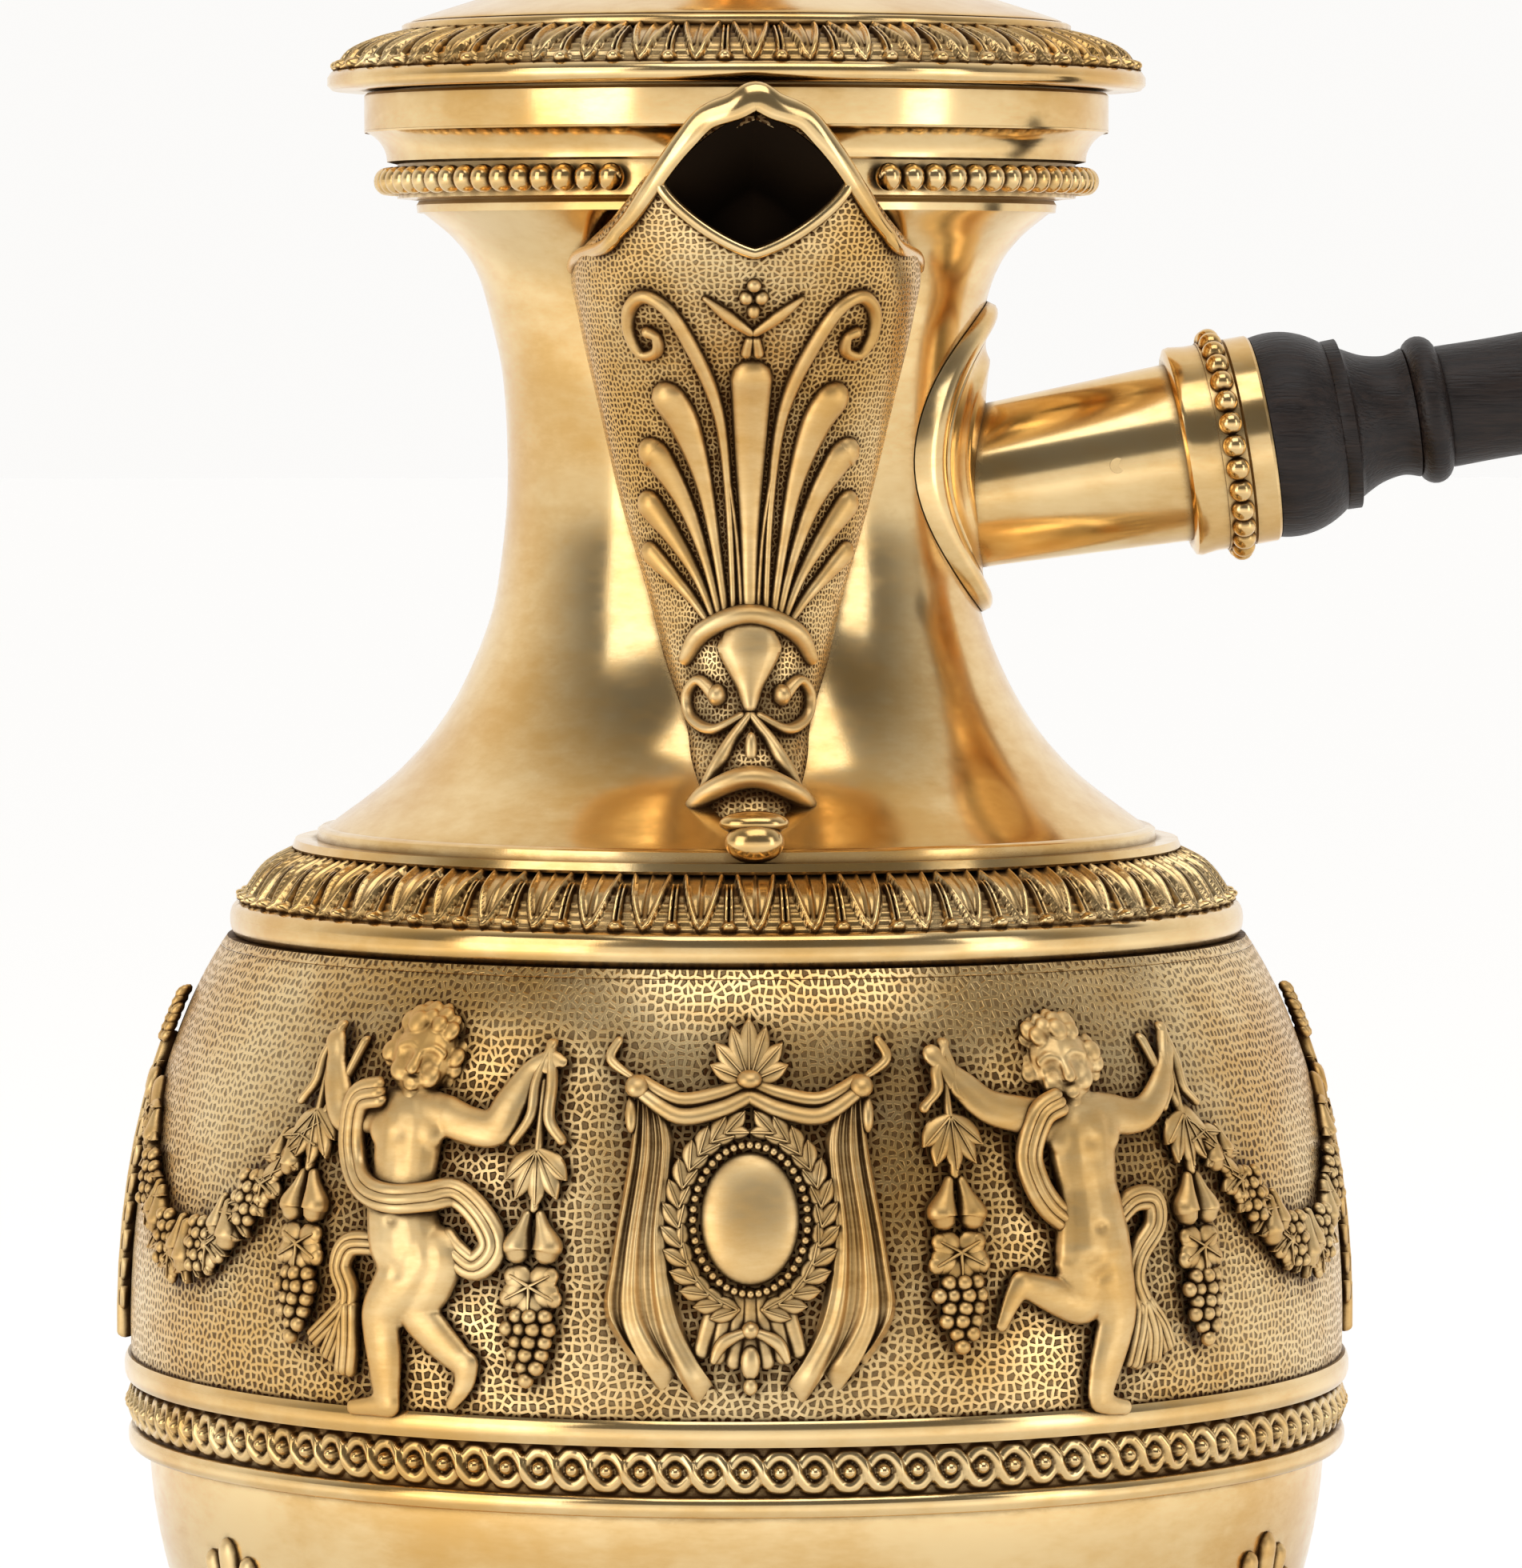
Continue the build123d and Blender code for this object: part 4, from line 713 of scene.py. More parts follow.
ornaments.append(knob(on_spout, 0, 239.1, 0.7, 0.9, 0.8))
ornaments.append(knob(on_spout, 0, 194.2, 0.7, 1.9, 0.8))
piece("spout_ornament", joined(ornaments), satin, "pot", "spout_anthemion", crease=60)



def drop_place(x, z, lift=0.0):
    """The upright plane that the pendant drop hangs on."""
    return Vector((x, -45.0 - lift, z))


drops = [knob(drop_place, 0, 185.3, 3.05, 2.15, 2.3, 0.6, 24),
         knob(drop_place, 0, 187.2, 3.6, 1.3, 2.4, -0.4, 24)]
piece("spout_pendant", joined(drops), chased, "pot", "spout_drop", crease=80)

# ---------------------------------------------------------------- handle
# An ebony handle turned in one piece, pinned in a gilt socket that is soldered to the neck through a round
# escutcheon. It tilts up a little towards its end.
HANDLE_TILT = radians(9.7)
HANDLE_HEIGHT = 220.6
BORE = 7.7
SOCKET_END = 20.2
handle_frame = Matrix.Translation((27.0, 0, HANDLE_HEIGHT)) @ Matrix.Rotation(pi / 2 - HANDLE_TILT, 4, "Y")


def on_handle(profile, steps=96, relief=None):
    """A profile of radius and distance turned about the handle's axis."""
    bm = turned(profile, steps, relief=relief)
    bmesh.ops.transform(bm, matrix=handle_frame, verts=bm.verts)
    return bm


socket = [(BORE, -3.4), (8.5, -3.4), (8.6, 0.0), (9.5, SOCKET_END), (BORE, SOCKET_END)]
piece("socket_tube", on_handle(socket), burnished, "pot", "handle_socket")
collar = [(BORE, SOCKET_END), (10.4, SOCKET_END), (11.05, 20.5), (11.2, 21.0), (11.0, 22.6), (11.0, 24.2),
          (BORE, 24.2)]
ferrule = [(BORE, 26.6), (10.8, 26.6), (11.05, 26.9), (11.05, 29.2), (10.8, 29.5), (BORE, 29.5)]
SOCKET_BEADS = 29
bead_core = [(BORE, 23.9), (11.15, 23.9), (11.15, 26.6), (BORE, 26.6)]
piece("socket_ring", joined([on_handle(collar), on_handle(bead_core)]), burnished, "pot", "socket_collar")
bead_place = Matrix.Translation((0, -11.2, 25.3))
spots = [handle_frame @ Matrix.Rotation(tau * index / SOCKET_BEADS, 4, "Z") @ bead_place
         for index in range(SOCKET_BEADS)]
piece("socket_beads", stamped(bead(2.55, 2.5), spots), chased, "pot", "socket_bead_ring", crease=80)
piece("ferrule_ring", on_handle(ferrule), burnished, "pot", "handle_ferrule")

ESCUTCHEON = 16.5


def escutcheon_skin(u, v):
    """A round plate bent to the neck: a flat with a rounded step to its rim."""
    share = v
    height = 1.9 if share < 0.62 else 1.0
    if 0.62 <= share < 0.75:
        height = 1.9 - 0.9 * sin(pi * (share - 0.62) / 0.26)
    if share > 0.80:
        height = 0.1 + 1.5 * sqrt(max(0.0, 1 - ((share - 0.90) / 0.10) ** 2))
    y = ESCUTCHEON * share * cos(tau * u)
    z = HANDLE_HEIGHT + 3.0 + ESCUTCHEON * share * sin(tau * u)
    radius = neck_radius(z) + height
    return Vector((sqrt(max(0.0, radius * radius - y * y)), y, z))


piece("escutcheon", sheet(96, 40, escutcheon_skin), burnished, "pot", "handle_escutcheon", crease=60)

EBONY = (0.010, 0.006, 0.005, 1)
EBONY_STREAK = (0.032, 0.019, 0.014, 1)
ebony = Finish("ebony", "ebony", Specular_IOR_Level=0.35)
grain = ebony.noise(1.0, detail=5, roughness=0.65, stretch=(0.10, 1.0, 1.0))
fine_grain = ebony.noise(0.28, detail=3, stretch=(0.06, 1.0, 1.0))
figure = ebony.between(grain * 0.6 + fine_grain * 0.4, 0.38, 0.72)
ebony.feed(ebony.shader.inputs["Base Color"], ebony.mixed(figure, EBONY, EBONY_STREAK))
ebony.feed(ebony.shader.inputs["Roughness"], ebony.between(fine_grain, 0.2, 0.8, 0.36, 0.5))
ebony.feed(ebony.shader.inputs["Normal"], ebony.bump(ebony.between(fine_grain, 0.30, 0.62), 0.03))

grip = [(0.0, 6.0), (7.5, 6.0), (7.5, 29.5), (9.9, 29.5)] + arc((0, 31.6), 10.95, 9.6, -12, 35, steps=14)
grip += [(9.05, 37.2), (9.1, 38.6), (8.3, 38.8)]
grip += smooth_line([(8.0, 39.0), (6.9, 41.2), (6.45, 43.6), (6.9, 45.4)], steps=6)
grip += arc((6.1, 47.2), 1.8, 1.8, -80, 80, steps=10)
grip += smooth_line([(6.5, 49.2), (6.5, 60), (7.6, 85), (9.2, 108), (9.5, 114), (8.2, 120), (5.2, 123.2)],
                    steps=10)
grip += smooth_line([(3.2, 123.6), (3.4, 124.6), (4.2, 126.2), (3.4, 127.8), (0.0, 128.3)], steps=8)
piece("grip", on_handle(grip, 128), ebony, "pot", "handle_grip", crease=40)

# ---------------------------------------------------------------- lid
# A turned lid: an upright lip that rests on the collar, a border of leaves like the shoulder's, a low dome,
# and inside it the bezel that holds it steady.
lip_low, lip_high = corners("lid_lip")
lid_leaf_low, lid_leaf_high = corners("lid_leaf_border")
fillet_low, fillet_high = corners("lid_fillet_ring")
LIP = 43.3
lip = [(35.2, lip_low.z), (LIP - 0.5, lip_low.z), (LIP, lip_low.z + 0.5), (LIP, lip_high.z - 0.7),
       (LIP - 0.4, lip_high.z - 0.1), (LIP - 1.0, lip_high.z), (35.2, lip_high.z)]
piece("lid_edge", turned(lip, closed=True), burnished, "lid", "lid_lip", crease=60)
LID_LEAVES = 46
curve = smooth_line([(LIP - 0.9, lid_leaf_low.z - 0.1), (LIP - 2.0, lid_leaf_low.z + 1.9),
                     (38.6, lid_leaf_high.z - 0.9), (35.5, lid_leaf_high.z - 0.1)], steps=10)
curve = [(r - LEAF_RELIEF * 0.5, z - LEAF_RELIEF * 0.4) for r, z in curve]
back = [(34.0, lid_leaf_high.z - 0.4), (34.0, lid_leaf_low.z)]
leaves = turned(curve + back, LID_LEAVES * 34, closed=True, relief=leaf_border(LEAF_RELIEF, LID_LEAVES))
piece("lid_leaves", leaves, chased, "lid", "lid_leaf_border", crease=70)
fillet = [(31.8, fillet_low.z - 0.3), (35.2, fillet_low.z - 0.3), (35.4, fillet_low.z),
          (35.4, fillet_high.z - 0.2), (35.1, fillet_high.z), (31.8, fillet_high.z)]
piece("lid_step", turned(fillet, closed=True), burnished, "lid", "lid_fillet_ring", crease=60)
dome = smooth_line([(34.2, 269.3), (33.6, 269.9), (24.0, 273.0), (14.0, 276.4), (9.0, 278.9), (6.6, 280.3)],
                   steps=10)
dome_skin = dome + [(r - 0.2, z - 0.8) for r, z in reversed(dome)]
piece("lid_cover", turned(dome_skin, closed=True), burnished, "lid", "lid_dome", crease=60)
base_low, base_high = corners("finial_base")
base = smooth_line([(6.4, base_low.z), (6.6, base_low.z + 1.2), (5.4, base_low.z + 2.4),
                    (3.4, base_low.z + 4.6), (3.1, base_low.z + 6.4), (4.2, base_low.z + 8.0),
                    (5.6, base_low.z + 8.8), (5.6, base_high.z), (2.0, base_high.z)], steps=6)
piece("finial_stem", turned([(2.0, base_low.z)] + base, 96), burnished, "lid", "finial_base", crease=50)
bud_low, bud_high = corners("finial_bud")
BUD_FLUTES = 8


def bud_leaves(turn, share):
    """Overlapping leaves that stand up round the bud and open a little at their tips."""
    along = abs((turn * BUD_FLUTES) % 1.0 - 0.5) * 2
    inner = abs((turn * BUD_FLUTES + 0.5) % 1.0 - 0.5) * 2
    outer_edge = 0.72 * (1 - along**2.2) if along < 1 else 0
    upper_edge = 0.95 * (1 - inner**2.2)
    leaf = 0.9 * (share < outer_edge) + 0.45 * (outer_edge <= share < upper_edge)
    rib = 0.3 * ridge(along, 0.1) * (share < outer_edge)
    inner_rib = 0.3 * ridge(inner, 0.1) * (outer_edge <= share < upper_edge)
    return (leaf + (rib + inner_rib) - 0.9) * (0.03 < share < 0.95)


bud = smooth_line([(4.4, bud_low.z), (7.4, bud_low.z + 3.6), (9.1, bud_low.z + 9.5),
                   (8.2, bud_low.z + 15.5), (5.6, bud_low.z + 21.0), (3.0, bud_low.z + 25.6),
                   (0.9, bud_high.z - 0.4)], steps=12)
bud_bm = turned([(2.0, bud_low.z)] + bud + [(0.0, bud_high.z)], 192, relief=bud_leaves)
piece("finial_leaves", bud_bm, chased, "lid", "finial_bud", crease=60)

# ---------------------------------------------------------------- hinge and fixings
# The hinge's knuckles and leaf, its pin, the bezel under the lid, and the finial's and handle's screws are
# plain turned or filed metal: their CAD shape is right, and they only get their gilding.
for node in ("hinge_bracket", "lid_hinge_leaf", "hinge_pin", "lid_bezel", "finial_stud", "finial_washer",
             "finial_nut", "handle_pin"):
    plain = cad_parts[node]
    for index in range(len(plain.material_slots)):
        plain.material_slots[index].material = burnished.material

# ---------------------------------------------------------------- children
# Two dancing children, front and back, cast in low relief, chased, and soldered to the matted wall. Each
# wears only a scarf, and holds up a hanging bunch of fruit in each hand.


def flat(across, up, lift=0.0):
    """The drawing board that mounts are modelled on before they are bent to the wall."""
    return Vector((across, -lift, up))


def blobs(points, flatness=0.62, steps=5):
    """Overlapping balls along points of across, up, out and radius."""
    bm = bmesh.new()
    for across, up, out, radius in smooth_line(points, steps) if len(points) > 1 else points:
        size = Matrix.Diagonal((radius, radius * flatness, radius, 1))
        bmesh.ops.create_uvsphere(bm, u_segments=16, v_segments=10, radius=1,
                                  matrix=Matrix.Translation((across, -out, up)) @ size)
    return bm


def modelled(parts, grain, rounds, dents=(), back=-0.5):
    """Parts run together like wax, to a grain in millimetres, then smoothed and dented."""
    rough = joined(parts)
    mesh = bpy.data.meshes.new("wax")
    rough.to_mesh(mesh)
    rough.free()
    wax = bpy.data.objects.new("wax", mesh)
    bpy.context.scene.collection.objects.link(wax)
    remesh = wax.modifiers.new("remesh", "REMESH")
    remesh.mode, remesh.voxel_size = "VOXEL", grain
    bm = bmesh.new()
    bm.from_mesh(wax.evaluated_get(bpy.context.evaluated_depsgraph_get()).to_mesh())
    bpy.data.objects.remove(wax)
    for _ in range(rounds):
        bmesh.ops.smooth_vert(bm, verts=bm.verts, factor=0.5, use_axis_x=True, use_axis_y=True,
                              use_axis_z=True)
    for vert in bm.verts:
        for across, up, radius, depth in dents:
            reach = sqrt((vert.co.x - across) ** 2 + (vert.co.z - up) ** 2) / radius
            if reach < 2.5 and vert.co.y < 0:
                vert.co.y += depth * exp(-reach * reach)
        vert.co.y = min(vert.co.y, -back)
    return bm


def bent(bm, angle, level):
    """A mount bent to the upper body, turned by an angle in degrees from the spout."""
    for vert in bm.verts:
        radius = frieze_radius(level + vert.co.z)
        turn = asin(max(-1.0, min(1.0, vert.co.x / radius))) + radians(angle)
        out = radius - vert.co.y
        vert.co = Vector((out * sin(turn), -out * cos(turn), level + vert.co.z))
    return bm


def cloth(points, width, folds=3):
    """A strip of cloth along points of across, up and out, gathered in long folds."""
    line = smooth_line(points, 6)
    bars = []
    for fold in range(folds):
        shift = (fold - (folds - 1) / 2) * width * 1.3 / folds
        stations = []
        for index, (x, z, out) in enumerate(line):
            ahead, behind = line[min(index + 1, len(line) - 1)], line[max(index - 1, 0)]
            run = Vector((ahead[0] - behind[0], ahead[1] - behind[1])).normalized()
            spot = flat(x - run.y * shift, z + run.x * shift, out)
            stations.append((spot, width / folds * 1.15, 0.75 + 0.2 * (fold % 2), Vector((0, -1, 0))))
        bars.append(swept(stations, 10))
    return bars


def head(x, z, turn, tilt, seed):
    """A child's head with curly hair, turned to one side and tilted, in degrees."""
    random.seed(seed)
    face = [
        [(0.0, 0.3, 0.0, 2.75)], [(0.0, -0.7, 0.2, 2.3)],
        [(-1.2, -0.95, 1.55, 0.95)], [(1.2, -0.95, 1.55, 0.95)], [(0.0, -2.6, 1.25, 0.8)],
        [(0.0, 0.8, 2.2, 0.42), (0.0, -0.45, 2.95, 0.52)], [(-0.38, -0.62, 2.5, 0.3)],
        [(0.38, -0.62, 2.5, 0.3)],
        [(-1.85, 0.7, 1.75, 0.36), (-1.0, 1.05, 2.2, 0.38), (-0.35, 0.85, 2.35, 0.3)],
        [(1.85, 0.7, 1.75, 0.36), (1.0, 1.05, 2.2, 0.38), (0.35, 0.85, 2.35, 0.3)],
        [(-0.6, -1.5, 2.1, 0.22), (0.0, -1.4, 2.45, 0.28), (0.6, -1.5, 2.1, 0.22)],
        [(-0.45, -1.88, 2.0, 0.24), (0.0, -1.95, 2.3, 0.3), (0.45, -1.88, 2.0, 0.24)],
    ]
    parts = [blobs(points, flatness=0.95, steps=4) for points in face]
    for index in range(70):
        polar = acos(1 - 1.5 * (index + 0.5) / 70)
        around_head = index * 2.39996
        spot = Vector((2.95 * sin(polar) * cos(around_head), 3.2 * cos(polar) + 0.3,
                       2.75 * sin(polar) * sin(around_head)))
        if spot.z < -0.8 or (spot.z > 0.2 and spot.y < 2.35 and abs(spot.x) < 2.7):
            continue
        parts.append(blobs([(spot.x, spot.y, spot.z, random.uniform(0.55, 0.85))], flatness=0.95))
    sockets = ((-1.05, 0.2, 0.62, 0.6), (1.05, 0.2, 0.62, 0.6), (0.0, -1.68, 0.3, 0.12))
    bm = modelled(parts, 0.13, 2, sockets, back=-2.0)
    place = (Matrix.Translation((x, 0, z)) @ Matrix.Rotation(radians(tilt), 4, "Y")
             @ Matrix.Diagonal((1.30, 0.92, 1.36, 1)) @ Matrix.Rotation(radians(turn), 4, "Z"))
    bmesh.ops.transform(bm, matrix=place, verts=bm.verts)
    for vert in bm.verts:
        vert.co.y = min(vert.co.y - 0.35, 0.5)
    return bm


# bodies as chains of across, up, out and radius: neck, shoulders, trunk, breast and belly, each arm with its
# hand, the leg that stands with its foot, and the leg that lifts with its foot
STRIDING_FLESH = (
    ((0.2, 34.6, 1.1, 1.5), (-0.2, 32.6, 0.9, 1.7)),
    ((-4.6, 31.0, 0.9, 1.8), (-0.8, 31.3, 0.9, 2.5), (3.4, 31.3, 0.9, 1.8)),
    ((-0.9, 30.2, 0.7, 3.5), (-1.2, 27.4, 0.7, 3.3), (-1.5, 25.0, 0.6, 3.15), (-1.9, 21.6, 0.6, 3.5),
     (-1.5, 18.2, 0.5, 3.9)),
    ((-3.0, 29.9, 1.3, 2.1),), ((1.1, 29.9, 1.3, 2.1),), ((-1.9, 21.4, 0.95, 3.0),),
    ((-4.9, 31.2, 1.0, 1.7), (-7.2, 30.8, 1.0, 1.6), (-9.2, 30.8, 1.0, 1.5), (-10.1, 33.2, 1.0, 1.5),
     (-10.8, 36.2, 1.0, 1.1)),
    ((-10.9, 37.0, 1.1, 1.0), (-11.3, 38.0, 1.2, 1.1)),
    ((3.6, 31.3, 1.0, 1.8), (6.2, 30.4, 1.0, 1.7), (8.9, 30.4, 1.0, 1.65), (10.4, 32.8, 1.0, 1.5),
     (12.2, 36.0, 1.0, 0.95)),
    ((12.6, 36.5, 1.1, 0.85), (14.0, 37.3, 1.2, 0.75), (15.4, 36.9, 1.2, 0.5)),
    ((13.4, 36.4, 1.4, 0.5), (14.6, 35.9, 1.4, 0.38)),
    ((-0.2, 17.0, 0.9, 3.2), (-1.8, 14.2, 1.0, 2.8), (-3.9, 11.2, 1.0, 2.15), (-4.1, 9.0, 0.9, 1.95),
     (-3.7, 6.0, 0.9, 1.75), (-3.4, 2.4, 0.9, 1.35)),
    ((-3.2, 1.5, 1.0, 1.25), (-5.2, 1.2, 1.0, 0.95), (-7.6, 0.9, 0.9, 0.75)),
    ((1.8, 17.0, 0.6, 2.9), (1.0, 14.0, 0.5, 2.5), (-0.2, 11.4, 0.4, 2.0), (1.8, 9.0, 0.5, 1.8),
     (4.6, 6.6, 0.6, 1.35)),
    ((5.6, 6.0, 0.8, 1.25), (5.4, 4.0, 0.8, 0.95), (4.0, 1.9, 0.8, 0.62)),
)
# scarves as chains of across, up and out, each with its width
STRIDING_CLOTH = (
    (((-3.6, 33.4, 2.4), (-6.2, 32.6, 2.2), (-7.7, 29.0, 1.2), (-7.2, 25.6, 1.2), (-4.8, 23.6, 2.4),
      (-1.4, 22.9, 3.0), (2.0, 23.2, 2.0), (4.6, 23.6, 1.0), (7.2, 21.4, 0.9), (8.4, 18.4, 0.9),
      (6.4, 16.2, 0.9), (4.2, 17.4, 0.8), (2.9, 18.8, 0.6)), 1.9),
    (((-5.0, 17.9, 0.8), (-8.2, 17.6, 0.9), (-9.5, 15.4, 0.9), (-8.4, 12.8, 0.9), (-8.6, 10.8, 0.9)), 1.6),
    (((-8.4, 11.4, 0.9), (-10.2, 9.6, 0.9), (-12.6, 7.6, 0.7)), 1.4),
    (((-8.4, 11.2, 0.9), (-9.6, 8.2, 0.8), (-10.8, 6.0, 0.6)), 1.4),
    (((-8.2, 11.2, 1.0), (-8.2, 7.6, 0.9), (-8.6, 4.6, 0.7)), 1.6),
)
# dents of across, up, radius and depth
STRIDING_DENTS = ((-1.0, 29.4, 0.8, 0.22), (-1.0, 27.6, 1.0, 0.12), (-1.9, 20.6, 0.6, 0.3),
                  (-3.4, 16.9, 0.9, 0.2), (-1.6, 15.2, 0.9, 0.25))
DANCING_FLESH = (
    ((-0.4, 34.4, 1.1, 1.5), (0.0, 32.4, 0.9, 1.7)),
    ((-3.8, 31.0, 0.9, 1.8), (0.3, 31.0, 0.9, 2.5), (4.4, 31.3, 0.9, 1.8)),
    ((0.4, 29.6, 0.7, 3.5), (0.8, 26.6, 0.7, 3.25), (1.2, 24.0, 0.6, 3.1), (1.7, 20.8, 0.6, 3.5),
     (2.2, 17.6, 0.5, 3.9)),
    ((-1.5, 29.6, 1.3, 2.1),), ((2.5, 29.6, 1.3, 2.1),), ((1.7, 20.7, 0.95, 3.0),),
    ((-4.2, 31.3, 1.0, 1.75), (-7.0, 31.9, 1.0, 1.65), (-10.2, 32.8, 1.0, 1.5), (-12.4, 34.6, 1.0, 1.35),
     (-14.2, 36.4, 1.0, 1.0)),
    ((-14.4, 36.9, 1.1, 0.9), (-15.2, 37.9, 1.2, 1.0)),
    ((4.6, 31.3, 1.0, 1.75), (6.8, 31.0, 1.0, 1.6), (8.9, 31.4, 1.0, 1.5), (11.0, 33.4, 1.0, 1.35),
     (12.4, 36.0, 1.0, 1.0)),
    ((12.4, 36.4, 1.1, 0.9), (12.9, 37.3, 1.2, 0.95)),
    ((3.2, 16.6, 0.9, 3.1), (3.9, 14.0, 1.0, 2.7), (4.7, 10.8, 1.0, 2.1), (4.2, 8.0, 0.9, 1.9),
     (3.2, 5.0, 0.9, 1.65), (2.6, 2.4, 0.9, 1.3)),
    ((2.6, 1.8, 1.0, 1.2), (3.8, 1.2, 1.0, 0.95), (5.8, 0.8, 0.9, 0.75)),
    ((1.2, 16.2, 0.6, 3.0), (1.2, 13.4, 0.6, 2.4), (0.6, 11.8, 0.6, 2.0), (-1.8, 12.6, 0.7, 1.85),
     (-5.2, 14.0, 0.7, 1.35)),
    ((-6.2, 14.4, 0.9, 1.2), (-7.4, 12.6, 0.9, 0.9), (-8.6, 10.0, 0.9, 0.6)),
)
DANCING_CLOTH = (
    (((-3.0, 33.0, 2.3), (-5.0, 31.8, 2.1), (-5.9, 28.0, 1.1), (-5.0, 24.8, 1.0), (-3.4, 22.4, 1.0),
      (-1.6, 21.0, 0.8)), 1.8),
    (((4.6, 20.6, 0.8), (6.8, 22.4, 0.9), (9.4, 22.2, 0.9), (9.8, 19.6, 0.9), (7.8, 16.8, 0.9),
      (7.0, 14.0, 0.9), (8.0, 11.2, 0.9)), 1.7),
    (((8.0, 11.6, 0.9), (7.6, 8.4, 0.8), (6.8, 5.2, 0.6)), 1.5),
    (((8.1, 11.4, 1.0), (9.2, 8.2, 0.9), (9.2, 5.6, 0.7)), 1.5),
    (((8.3, 11.4, 0.9), (10.2, 9.0, 0.8), (11.4, 6.6, 0.6)), 1.4),
)
DANCING_DENTS = ((0.5, 29.1, 0.8, 0.22), (0.7, 27.2, 1.0, 0.12), (1.7, 20.0, 0.6, 0.3),
                 (0.6, 16.6, 0.9, 0.2), (2.2, 15.0, 0.9, 0.25))
# flesh, scarf, dents, the head's place, turn, tilt and seed, the angle round the wall, and how far the
# weight is thrown sideways and down
FIGURES = {
    "striding": (STRIDING_FLESH, STRIDING_CLOTH, STRIDING_DENTS, (-0.1, 36.8, 10, 10, 3), -34.3, 2.8, 0.8),
    "dancing": (DANCING_FLESH, DANCING_CLOTH, DANCING_DENTS, (-1.0, 36.4, -16, -10, 4), 32.0, -2.9, 1.2),
}
FLESH = 1.15
FIGURE_GRAIN = 0.2
for pose, (flesh, scarf, dents, head_place, angle, lean, sink) in FIGURES.items():
    plump = [[(x, z, out * 0.8 + 0.1, radius * FLESH) for x, z, out, radius in points] for points in flesh]
    body = modelled([blobs(points, flatness=0.55) for points in plump], FIGURE_GRAIN, 5, dents)
    clothes = [bar for points, width in scarf for bar in cloth(points, width)]
    child = joined([body, head(*head_place)] + clothes)
    for vert in child.verts:
        vert.co.x += lean * min(1.0, max(0.0, (36 - vert.co.z) / 20))
        vert.co.z -= sink * min(1.0, max(0.0, (vert.co.z - 8) / 20))
    for side, turn in (("front", 0.0), ("back", 180.0)):
        on_wall = bent(child.copy(), angle + turn, FRIEZE_FOOT - 0.9)
        piece(f"child_{pose}_{side}", on_wall, satin, "pot", f"putto_{pose}_{side}", crease=70)
    child.free()

# ---------------------------------------------------------------- fruit
# Bunches that hang from the children's hands, and swags between them and the staffs: ribbon, leaves, pears,
# a vine leaf and grapes, cast with their own flat back.


def pear(x, z, size, lean=0.0):
    """A pear that hangs by its stalk."""
    outline = ((x - lean, z + size * 1.9, size * 0.3, size * 0.4),
               (x - lean * 0.6, z + size * 1.1, size * 0.5, size * 0.6),
               (x, z, size, size * 0.95), (x, z - size * 0.35, size * 0.85, size * 0.8))
    return raised(outline, flat, 4, 12, lift=0.6)


def blade(x, z, angle, length, width):
    """A narrow leaf with a midrib, from its foot outwards, at an angle from hanging down."""
    c, s = cos(radians(angle)), sin(radians(angle))
    outline = ((0, 0.4), (0.35, 1.2), (0.7, 1.05), (0.97, 0.1))
    points = [(x + s * length * t, z - c * length * t, width * w, 0.5) for t, w in outline]
    rib = [(x + s * length * t, z - c * length * t, 0.13, 0.22) for t in (0.05, 0.5, 0.9)]
    return [raised(points, flat, 4, 10, lift=0.7), raised(rib, flat, 4, 6, lift=1.15)]


def vine_leaf(x, z, size):
    """A lobed vine leaf with its veins."""
    parts = []
    for angle, length in ((0, 1.25), (62, 1.1), (-62, 1.1), (118, 0.9), (-118, 0.9)):
        c, s = cos(radians(angle)), sin(radians(angle))
        for reach, wide in ((0.62, 0.62), (0.95, 0.4)):
            out = size * length * reach
            parts.append(knob(flat, x + s * out, z - c * out, size * wide, size * wide, 0.6, 0.7, 12))
        vein = ((x, z, 0.2, 0.3), (x + s * size * length, z - c * size * length, 0.12, 0.25))
        parts.append(raised(vein, flat, 4, 6, lift=1.25))
    return parts


def grapes(x, z, rows, size):
    """A bunch of grapes, its rows from the top."""
    parts = []
    for row, count in enumerate(rows):
        for index in range(count):
            across = x + (index - (count - 1) / 2) * size * 1.75 + 0.2 * size * (-1) ** row
            parts.append(knob(flat, across, z - row * size * 1.55, size, size, size,
                              0.9 + 0.35 * (index == count // 2), 12))
    return parts


bunch = [raised(((0.4, 0.8, 0.5, 0.6), (-0.8, -3.0, 0.6, 0.7), (-1.0, -6.6, 0.6, 0.7),
                 (-2.6, -9.4, 0.5, 0.6)), flat, lift=0.9),
         raised(((0.2, 0.8, 0.5, 0.6), (0.8, -3.2, 0.6, 0.7), (0.9, -7.0, 0.6, 0.7), (2.4, -9.2, 0.5, 0.6)),
                flat, lift=0.9),
         raised(((0.0, -3.0, 0.4, 0.6), (0.0, -16.0, 0.45, 0.6)), flat, lift=0.6)]
for angle, length in ((-46, 4.4), (-22, 5.4), (2, 5.8), (26, 5.4), (48, 4.4)):
    bunch += blade(0, -10.2, angle, length, 0.95)
bunch += [pear(-1.55, -19.6, 1.6, -0.9), pear(1.55, -19.6, 1.6, 0.9)]
bunch += vine_leaf(0, -23.6, 2.5)
bunch += grapes(0, -26.6, (3, 4, 3, 3, 2, 1), 0.82)
bunch = joined(bunch)
